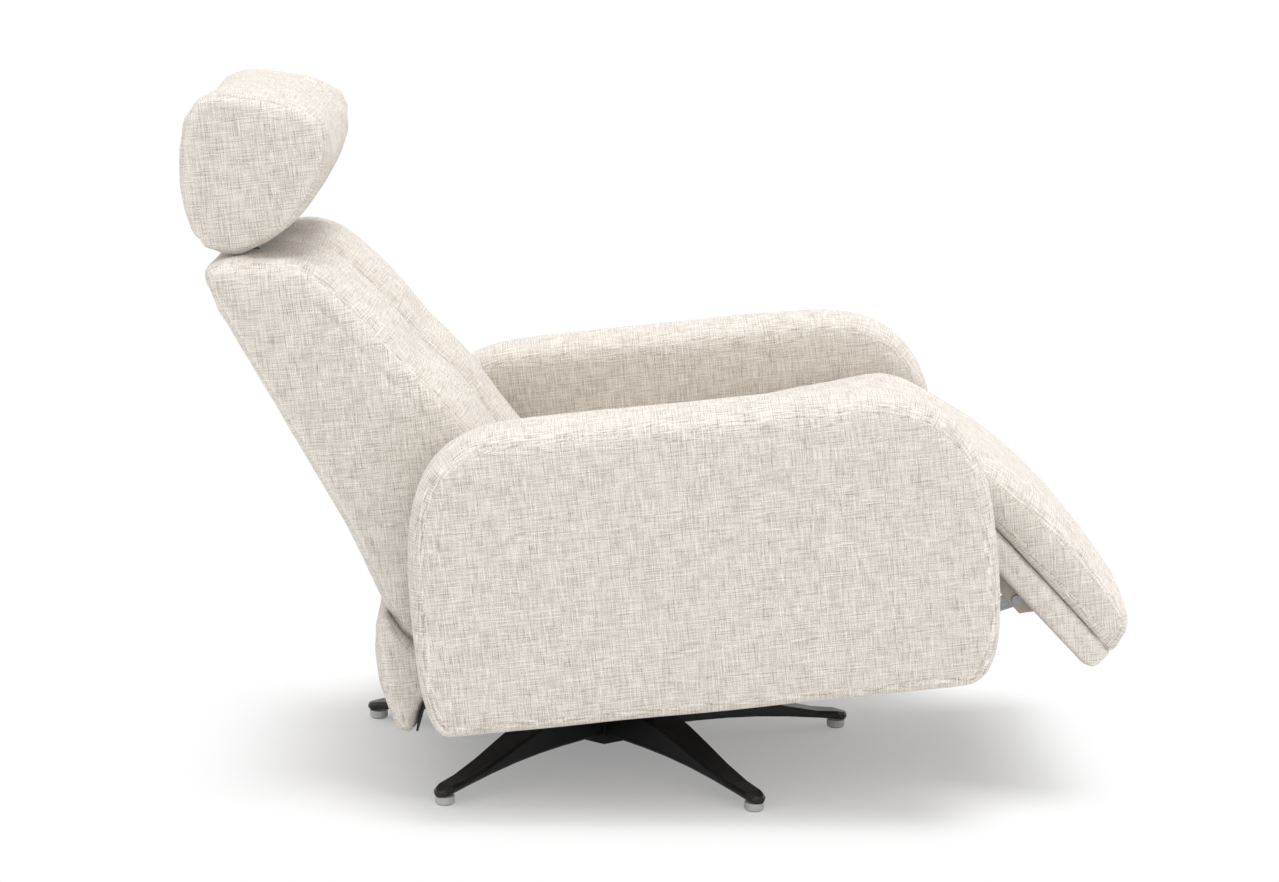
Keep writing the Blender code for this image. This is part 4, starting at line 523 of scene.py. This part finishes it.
def grown(outline, reach):
    """Move each point of an outline outwards; reach is one length, or one for each point."""
    ring = np.array(outline)
    run = np.roll(ring, -1, axis=0) - np.roll(ring, 1, axis=0)
    run /= np.linalg.norm(run, axis=1, keepdims=True)
    turn = np.sum(ring[:, 0] * np.roll(ring[:, 1], -1) - ring[:, 1] * np.roll(ring[:, 0], -1))
    out = np.stack([run[:, 1], -run[:, 0]], axis=1) * math.copysign(1.0, turn)
    return [tuple(point) for point in ring + out * np.reshape(reach, (-1, 1))]


def blank(outline, half_width, roll, middle_x=0.0, steps=6):
    """A closed blank: the outline carried across the chair, with both rims rolled over."""
    bm = bmesh.new()
    roll = np.broadcast_to(roll, len(outline))
    rings = []
    for side in (-1, 1):
        for step in range(steps + 1)[::side]:
            angle = math.pi / 2 * step / steps
            ring = grown(outline, roll * (math.cos(angle) - 1))
            wide = half_width - roll * (1 - math.sin(angle))
            rings.append([bm.verts.new((middle_x + side * x, *point))
                          for x, point in zip(wide, ring)])
    for here, there in zip(rings, rings[1:]):
        for i in range(len(outline)):
            bm.faces.new((here[i - 1], here[i], there[i], there[i - 1]))
    bm.faces.new(rings[0])
    bm.faces.new(rings[-1])
    bmesh.ops.recalc_face_normals(bm, faces=bm.faces)
    return bm


def new_piece(name, bm):
    mesh = bpy.data.meshes.new(name)
    bm.to_mesh(mesh)
    bm.free()
    piece = bpy.data.objects.new(name, mesh)
    bpy.context.collection.objects.link(piece)
    return piece


def evaluated(piece):
    """Apply a piece's modifiers to its mesh."""
    bpy.context.view_layer.update()
    graph = bpy.context.evaluated_depsgraph_get()
    mesh = bpy.data.meshes.new_from_object(piece.evaluated_get(graph))
    piece.modifiers.clear()
    old = piece.data
    piece.data = mesh
    bpy.data.meshes.remove(old)
    return piece


def remeshed(piece, voxel):
    skin = piece.modifiers.new("skin", "REMESH")
    skin.mode = "VOXEL"
    skin.voxel_size = voxel
    return evaluated(piece)


def smoothed(piece, rounds, factor=0.5):
    bm = bmesh.new()
    bm.from_mesh(piece.data)
    for _ in range(rounds):
        bmesh.ops.smooth_vert(bm, verts=bm.verts, factor=factor, use_axis_x=True,
                              use_axis_y=True, use_axis_z=True)
    bm.to_mesh(piece.data)
    bm.free()
    return piece


def places(piece):
    flat = np.empty(len(piece.data.vertices) * 3)
    piece.data.vertices.foreach_get("co", flat)
    return flat.reshape(-1, 3)


def normals(piece):
    flat = np.empty(len(piece.data.vertices) * 3)
    piece.data.vertices.foreach_get("normal", flat)
    return flat.reshape(-1, 3)


def set_places(piece, points):
    piece.data.vertices.foreach_set("co", np.ascontiguousarray(points, float).ravel())
    piece.data.update()


def inflated(piece, pressure, cap, held, frames=20):
    """Let the cover swell over its foam, held at its seams, and keep it within the cap."""
    rest = places(piece)
    group = piece.vertex_groups.new(name="held")
    for i in np.nonzero(held)[0]:
        group.add([int(i)], 1.0, "REPLACE")
    cloth = piece.modifiers.new("cover", "CLOTH")
    settings = cloth.settings
    settings.quality = 2
    settings.mass = 0.4
    settings.tension_stiffness = settings.compression_stiffness = 12.0
    settings.shear_stiffness = 6.0
    settings.bending_stiffness = 0.6
    settings.use_pressure = True
    settings.uniform_pressure_force = pressure
    settings.vertex_group_mass = "held"
    settings.effector_weights.gravity = 0.0
    scene = bpy.context.scene
    cloth.point_cache.frame_start, cloth.point_cache.frame_end = 1, frames
    for number in range(1, frames + 1):
        scene.frame_set(number)
    graph = bpy.context.evaluated_depsgraph_get()
    result = piece.evaluated_get(graph)
    flat = np.empty(len(result.data.vertices) * 3)
    result.data.vertices.foreach_get("co", flat)
    piece.modifiers.clear()
    piece.vertex_groups.clear()
    scene.frame_set(1)
    moved = flat.reshape(-1, 3) - rest
    size = np.linalg.norm(moved, axis=1, keepdims=True)
    kept = cap * np.tanh(size / cap) / np.maximum(size, cap * 1e-6)
    set_places(piece, rest + moved * kept)
    return smoothed(piece, 2)


def subdivided(piece):
    finer = piece.modifiers.new("finer", "SUBSURF")
    finer.levels = finer.render_levels = 1
    return evaluated(piece)


def outline_distance(points, outline):
    """Distance of level points to a closed outline, and how far round it they lie."""
    ring = np.array(list(outline) + [outline[0]])
    spot = points[:, 1:3]
    best = np.full(len(points), np.inf)
    round_at = np.zeros(len(points))
    travelled = 0.0
    for start, end in zip(ring[:-1], ring[1:]):
        run = end - start
        length = np.linalg.norm(run)
        share = np.clip((spot - start) @ run / length ** 2, 0.0, 1.0)
        gap = np.linalg.norm(spot - start - share[:, None] * run, axis=1)
        nearer = gap < best
        best[nearer] = gap[nearer]
        round_at[nearer] = travelled + share[nearer] * length
        travelled += length
    return best, round_at, travelled


def panel_coordinate(points, outline, half_width, middle_x=0.0):
    """Along the cover: below 0 on the strip across the chair, above 0 on the side panels."""
    inside, round_at, length = outline_distance(points, outline)
    return inside - (half_width - np.abs(points[:, 0] - middle_x)), round_at, length


def wrinkles(points, seed, size, stretch=(1.0, 1.0, 1.0)):
    """Soft uneven swells, from -1 to 1."""
    shift = Vector((seed, seed * 0.37, seed * 0.71))
    scale = Vector((stretch[0] / size, stretch[1] / size, stretch[2] / size))
    return np.array([noise.noise(Vector((p[0] * scale.x, p[1] * scale.y, p[2] * scale.z)) + shift)
                     for p in points])


def groove(distance, width):
    return np.exp(-(distance / width) ** 2)


def eased(values, low, high):
    share = np.clip((values - low) / (high - low), 0.0, 1.0)
    return share * share * (3 - 2 * share)


def weave_map(piece, side, across, round_at, length):
    """Lay the weave on: side panels by their own plane, the strip by its run round the outline."""
    mesh = piece.data
    points = places(piece)
    layer = mesh.uv_layers.new(name="weave")
    corner_vertex = np.empty(len(mesh.loops), int)
    mesh.loops.foreach_get("vertex_index", corner_vertex)
    start = np.empty(len(mesh.polygons), int)
    mesh.polygons.foreach_get("loop_start", start)
    total = np.empty(len(mesh.polygons), int)
    mesh.polygons.foreach_get("loop_total", total)
    face_of = np.repeat(np.arange(len(start)), total)
    order = np.argsort(np.repeat(start, total), kind="stable")
    face_of = face_of[order]
    on_side = (np.bincount(face_of, side[corner_vertex]) / total)[face_of] > 0
    run = round_at[corner_vertex]
    first = round_at[corner_vertex[start]][face_of]
    run = run - length * np.round((run - first) / length)
    u = np.where(on_side, points[corner_vertex, 1], across[corner_vertex])
    v = np.where(on_side, points[corner_vertex, 2], run)
    layer.data.foreach_set("uv", np.stack([u, v], axis=1).ravel())


def mark_painted_light(piece, values):
    """Painted light on a cover: a painted highlight just inside a panel's seam, where the cover rolls over towards
    the light, plus any painted shade.
    """
    attribute = piece.data.attributes.new("painted_light", "FLOAT", "POINT")
    attribute.data.foreach_set("value", values.astype(np.float32))


def finished(piece, body, material, nodes):
    """Set a cover in the leaned chair, shade it, and tie it to its body if it rides on one."""
    piece.data.transform(LEAN)
    piece.data.shade_smooth()
    piece.data.materials.clear()
    piece.data.materials.append(material)
    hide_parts(*nodes)
    if body:
        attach(piece, body)


def upholstered(name, outline, half_width, roll, middle_x=0.0, seam_at=0.0, voxel=0.0075,
                pressure=4.0, cap=0.010, shape=None):
    """A stuffed cover: blank, remesh, swell held at its seams, then one finer level."""
    piece = remeshed(new_piece(name, blank(outline, half_width, roll, middle_x)), voxel)
    smoothed(piece, 2)
    if shape:
        set_places(piece, shape(places(piece)))
    coordinate, _, _ = panel_coordinate(places(piece), outline, half_width, middle_x)
    if pressure:
        inflated(piece, pressure, cap, np.abs(coordinate - seam_at) < voxel * HELD_BAND)
    return subdivided(piece)


def soft_limit(values, limit, give=0.004):
    """Keep values within a limit, easing in over the last stretch."""
    size = np.abs(values)
    over = np.maximum(size - (limit - give), 0.0)
    return np.sign(values) * (np.minimum(size, limit - give) + give * np.tanh(over / give))


def held_within(piece, limit, middle_x=0.0):
    """Keep a cover's sides within a half width about its middle."""
    points = places(piece)
    points[:, 0] = middle_x + soft_limit(points[:, 0] - middle_x, limit)
    set_places(piece, points)


def sewn(piece, outline, half_width, middle_x=0.0, seam_at=0.0, seam_depth=0.0006,
         seam_width=0.0065, ripple=0.0012, ripple_size=0.11, seed=1.0, extra=None, shade=None):
    """Draw the panel seams in, let the cover ripple a little, lay the weave on, and mark the painted light: a
    painted highlight by the seams, plus any painted shade.
    """
    points, out = places(piece), normals(piece)
    coordinate, round_at, length = panel_coordinate(points, outline, half_width, middle_x)
    offset = coordinate - seam_at
    pucker = 1.0 + PUCKER_SHARE * wrinkles(points, seed + 5, PUCKER_SIZE)
    push = -seam_depth * groove(offset, seam_width) * pucker
    push += ripple * wrinkles(points, seed, ripple_size)
    if extra is not None:
        push = push + extra(points, coordinate)
    points = points + out * push[:, None]
    set_places(piece, points)
    weave_map(piece, offset, points[:, 0], round_at, length)
    # Painted highlight: paler just inside each side panel's seam, where the cover rolls over towards the light.
    inside = coordinate + half_width - np.abs(points[:, 0] - middle_x)
    painted_highlight = 1 - eased(inside, *(PAINTED_HIGHLIGHT_BAND * share for share in PAINTED_HIGHLIGHT_FADE))
    painted_highlight = painted_highlight * (offset > 0)
    mark_painted_light(piece, painted_highlight + (shade(points) if shade else 0.0))


# Arms

def mirrored(piece, name):
    """A copy of a piece on the chair's other side."""
    other = new_piece(name, bmesh.new())
    old, other.data = other.data, piece.data.copy()
    bpy.data.meshes.remove(old)
    other.data.transform(Matrix.Scale(-1.0, 4, (1.0, 0.0, 0.0)))
    other.data.flip_normals()
    return other


def build_arms():
    outline = arm_outline()
    middle = ARM_INNER_X + ARM_THICKNESS / 2
    half = ARM_THICKNESS / 2
    height = np.array(outline)[:, 1]
    roll = ARM_FOOT_ROLL + (ARM_ROLL - ARM_FOOT_ROLL) * eased(height, *ARM_ROLL_RISE)
    left = upholstered("arm_upholstery_left", outline, half, roll, middle, seam_at=ARM_SEAM_INSET,
                       cap=0.006)
    held_within(left, half + ARM_GIVE, middle)
    sewn(left, outline, half, middle, seam_at=ARM_SEAM_INSET, ripple=0.0015, seed=3.0)
    right = mirrored(left, "arm_upholstery_right")
    for arm, side in ((left, "left"), (right, "right")):
        finished(arm, "chassis", LINEN, [f"arm_cover_{side}"])


# Seat and leg rest

def narrowed_pad(points):
    """The leg-rest pad is a little narrower than the seat."""
    share = eased(KNEE[0] + PAD_NARROWS_BEHIND - points[:, 1], 0.0, PAD_NARROWS_OVER)
    points[:, 0] *= 1 - share * (1 - PAD_HALF_WIDTH / SEAT_HALF_WIDTH)
    return points


def build_seat():
    outline = seat_outline()
    seat_top = 1 + len(SEAT_TOP_SHARES)
    pad_end = seat_top + KNEE_POINTS + len(PAD_TOP_SHARES)
    roll = np.full(len(outline), PAD_UNDER_ROLL)
    roll[:pad_end - PAD_TIP_POINTS] = SEAT_ROLL
    reach = np.full(len(outline), -SEAT_SINK)
    reach[:seat_top] = 0.0
    reach[pad_end - PAD_TIP_POINTS // 2:] = PAD_UNDER_GROWTH
    outline = grown(outline, reach)
    seat = upholstered("seat_and_leg_rest_upholstery", outline, SEAT_HALF_WIDTH, roll, cap=0.008,
                       shape=narrowed_pad)
    held_within(seat, SEAT_HALF_WIDTH + SEAT_GIVE)
    sewn(seat, outline, SEAT_HALF_WIDTH, seam_at=SEAT_SEAM, ripple=0.0018, seed=7.0)
    finished(seat, None, LINEN, ["seat_cushion", "footrest_cushion"])
    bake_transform(seat)
    outline = board_outline()
    board = upholstered("leg_rest_board_upholstery", outline, BOARD_HALF_WIDTH, BOARD_THICKNESS / 3,
                        voxel=0.005, pressure=0.0)
    sewn(board, outline, BOARD_HALF_WIDTH, seam_depth=0.0, ripple=0.0006, seed=11.0)
    finished(board, "footrest", LINEN, ["footrest_board"])


# Back

def back_frame(points):
    """How far points lie along the back from the recline pivot, and how far forward from it."""
    c, s = math.cos(BACK_LEAN), math.sin(BACK_LEAN)
    y, z = points[:, 1] - RECLINE[0], points[:, 2] - RECLINE[1]
    return y * s + z * c, -y * c + z * s


def moved_in_back(points, along, forward):
    """Points moved along the back and forward from it."""
    c, s = math.cos(BACK_LEAN), math.sin(BACK_LEAN)
    result = points.copy()
    result[:, 1] += along * s - forward * c
    result[:, 2] += along * c + forward * s
    return result


def lobed_back(points):
    """Two upright bolsters with a valley between them and a shallow waist across each."""
    along, forward = back_frame(points)
    front = eased(forward, *FRONT_EASE)
    across = np.abs(points[:, 0])
    valley = VALLEY_DEPTH * groove(across, VALLEY_WIDTH) * eased(along, *FOOT_EASE)
    crest = CREST_RISE * groove(across - CREST_X, CREST_WIDTH)
    rim = RIM_DROP * eased(across, CREST_X, BACK_HALF_WIDTH)
    waist = (WAIST_DEPTH * groove(along - WAIST_ALONG, WAIST_WIDTH)
             * groove(across - CREST_X, CREST_WIDTH))
    return moved_in_back(points, 0.0, (crest - valley - rim - waist) * front)


def build_back():
    count = len(BACK_FRONT_SHARES)
    rear = np.array([share for share, _ in BACK_REAR_SHARES])
    rear_reach = (BACK_REAR_GROWTH + BACK_REAR_TOP_GROWTH * eased(rear, *BACK_REAR_TOP_SHARES)
                  + BACK_REAR_LOW_GROWTH * (1 - eased(rear, *BACK_REAR_LOW_SHARES)))
    reach = np.concatenate([np.full(count, -BACK_FRONT_SINK), rear_reach,
                            np.full(BACK_SWEEP_STEPS + 1, BACK_SWEEP_GROWTH)])
    reach[count - 2:count] = BACK_LIP_GROWTH
    outline = grown(back_outline(), reach)
    back = upholstered("back_upholstery", outline, BACK_HALF_WIDTH, BACK_ROLL, seam_at=BACK_SEAM,
                       cap=0.005, shape=lobed_back)
    held_within(back, BACK_HALF_WIDTH + BACK_GIVE)

    def back_seams(points, coordinate):
        along, forward = back_frame(points)
        centre = (-CENTRE_SEAM_DEPTH * groove(points[:, 0], CENTRE_SEAM_WIDTH)
                  * eased(forward, *SEAM_EASE))
        inside = coordinate + BACK_HALF_WIDTH - np.abs(points[:, 0])
        flank = (coordinate > FLANK_INSET) * eased(along, *FLANK_EASE)
        front = (-FLANK_SEAM_DEPTH * groove(inside - FLANK_SEAM, FLANK_SEAM_WIDTH)
                 * (forward > 0.0) * flank)
        gathers = (GATHER_DEPTH * wrinkles(points, 31.0, GATHER_SIZE, (1.0, 1.0, 0.2))
                   * (1 - eased(along, *GATHER_EASE)))
        return centre + front + gathers * (coordinate > 0)

    # Painted shade: darker down the back's centre seam, where the valley between the bolsters lies in shade.
    def painted_centre_shade(points):
        forward = back_frame(points)[1]
        return (-PAINTED_CENTRE_SHADE * groove(points[:, 0], PAINTED_CENTRE_SHADE_WIDTH)
                * eased(forward, *SEAM_EASE))

    sewn(back, outline, BACK_HALF_WIDTH, seam_at=BACK_SEAM, ripple=0.0022, ripple_size=0.09,
         seed=17.0, extra=back_seams, shade=painted_centre_shade)
    finished(back, "back", LINEN, ["back_cushion", "back_cover"])


# Headrest

def winged_head(points):
    """The headrest's sides come forward of its middle."""
    forward = back_frame(points)[1]
    reach = eased(forward, HEAD_HINGE[1], HEAD_HINGE[1] + HEAD_DEPTH)
    share = points[:, 0] / HEAD_HALF_WIDTH
    return moved_in_back(points, 0.0, HEAD_WING * (share ** 2 - 0.5) * reach)


def build_headrest():
    up, ahead = np.array(HEAD_SHARES).T
    foot = HEAD_FOOT_GROWTH * (1 - eased(up, *HEAD_FOOT_UP)) * (1 - eased(ahead, *HEAD_FOOT_AHEAD))
    crown = HEAD_TOP_GROWTH * eased(up, *HEAD_TOP_UP) * (1 - eased(ahead, *HEAD_TOP_AHEAD))
    reach = foot - HEAD_FRONT_SINK * eased(ahead, *HEAD_FRONT_AHEAD) + crown
    outline = grown(head_outline(), reach)
    roll = HEAD_ROLL - HEAD_TOP_ROLL_CUT * eased(up, *HEAD_TOP_ROLL_SHARES)
    head = upholstered("headrest_upholstery", outline, HEAD_HALF_WIDTH, roll, voxel=0.006,
                       shape=winged_head)
    sewn(head, outline, HEAD_HALF_WIDTH, seam_depth=0.0012, ripple=0.0016, ripple_size=0.08,
         seed=23.0)
    finished(head, "headrest", LINEN, ["headrest_cushion"])


# Rear apron

def build_apron():
    outline = apron_outline()
    apron = upholstered("rear_apron_upholstery", outline, APRON_HALF_WIDTH, APRON_ROLL,
                        voxel=0.0065, cap=0.004, pressure=2.0)
    sewn(apron, outline, APRON_HALF_WIDTH, seam_at=APRON_SEAM, seam_depth=0.0010, ripple=0.0015,
         ripple_size=0.06, seed=29.0)
    finished(apron, "chassis", LINEN, ["rear_apron"])


# Frame, base and mechanism keep their CAD shapes

def paint_frame():
    """Give each CAD node the look of its slot; the leg rest's brackets are enamelled."""
    for part in frame["record"]["subparts"]:
        node = frame["nodes"][part["node"]]
        node.data.materials.clear()
        bracket = part["node"].startswith("footrest_bracket")
        node.data.materials.append(BRACKET if bracket else SLOT_LOOKS[part["material_slot"]])


# The room, its lights and the camera

def build_room():
    mesh = bmesh.new()
    bmesh.ops.create_grid(mesh, x_segments=1, y_segments=1, size=FLOOR_HALF)
    floor = new_piece("floor", mesh)
    floor.data.materials.append(floor_white())
    world = bpy.data.worlds.new("studio")
    bpy.context.scene.world = world
    world.use_nodes = True
    tree = world.node_tree
    back = tree.nodes["Background"]
    back.inputs["Color"].default_value = (1.0, 1.0, 1.0, 1.0)
    seen = tree.nodes.new("ShaderNodeLightPath").outputs["Is Camera Ray"]
    share = tree.nodes.new("ShaderNodeMapRange")
    share.inputs["To Min"].default_value = WORLD_LIGHT
    share.inputs["To Max"].default_value = 1.0
    tree.links.new(seen, share.inputs["Value"])
    tree.links.new(share.outputs["Result"], back.inputs["Strength"])


def lamp(name, kind, energy, spot, aim, size=None):
    data = bpy.data.lights.new(name, kind)
    data.energy = energy
    if kind == "AREA":
        data.shape = "RECTANGLE"
        data.size, data.size_y = size
    light = bpy.data.objects.new(name, data)
    bpy.context.collection.objects.link(light)
    spot, aim = Vector(spot), Vector(aim)
    turn = (aim - spot).to_track_quat("-Z", "Y").to_matrix().to_4x4()
    light.matrix_world = Matrix.Translation(spot) @ turn
    return light


def build_lights():
    overhead = lamp("overhead", "SUN", SUN_STRENGTH, SUN_PLACE, SUN_AIM)
    overhead.data.angle = SUN_ANGLE
    lamp("near_side", "AREA", NEAR_POWER, NEAR_PLACE, NEAR_AIM, NEAR_SIZE)


def build_camera():
    data = bpy.data.cameras.new("camera")
    data.sensor_fit = "HORIZONTAL"
    data.sensor_width = SENSOR_WIDTH
    data.lens = SENSOR_WIDTH * FOCAL_PIXELS / PHOTO_WIDTH
    camera = bpy.data.objects.new("camera", data)
    bpy.context.collection.objects.link(camera)
    heading = Vector((math.cos(CAMERA_YAW), math.sin(CAMERA_YAW), 0.0))
    ahead = heading * math.cos(CAMERA_PITCH) - Vector((0.0, 0.0, math.sin(CAMERA_PITCH)))
    level = ahead.cross(Vector((0.0, 0.0, 1.0))).normalized()
    right = Matrix.Rotation(-CAMERA_ROLL, 3, ahead) @ level
    camera.matrix_world = (Matrix.Translation(CAMERA_PLACE)
                           @ Matrix((right, right.cross(ahead), -ahead)).transposed().to_4x4())
    bpy.context.scene.camera = camera


build_arms()
build_seat()
build_back()
build_headrest()
build_apron()
paint_frame()
build_room()
build_lights()
build_camera()
bpy.context.scene.view_settings.view_transform = "Standard"
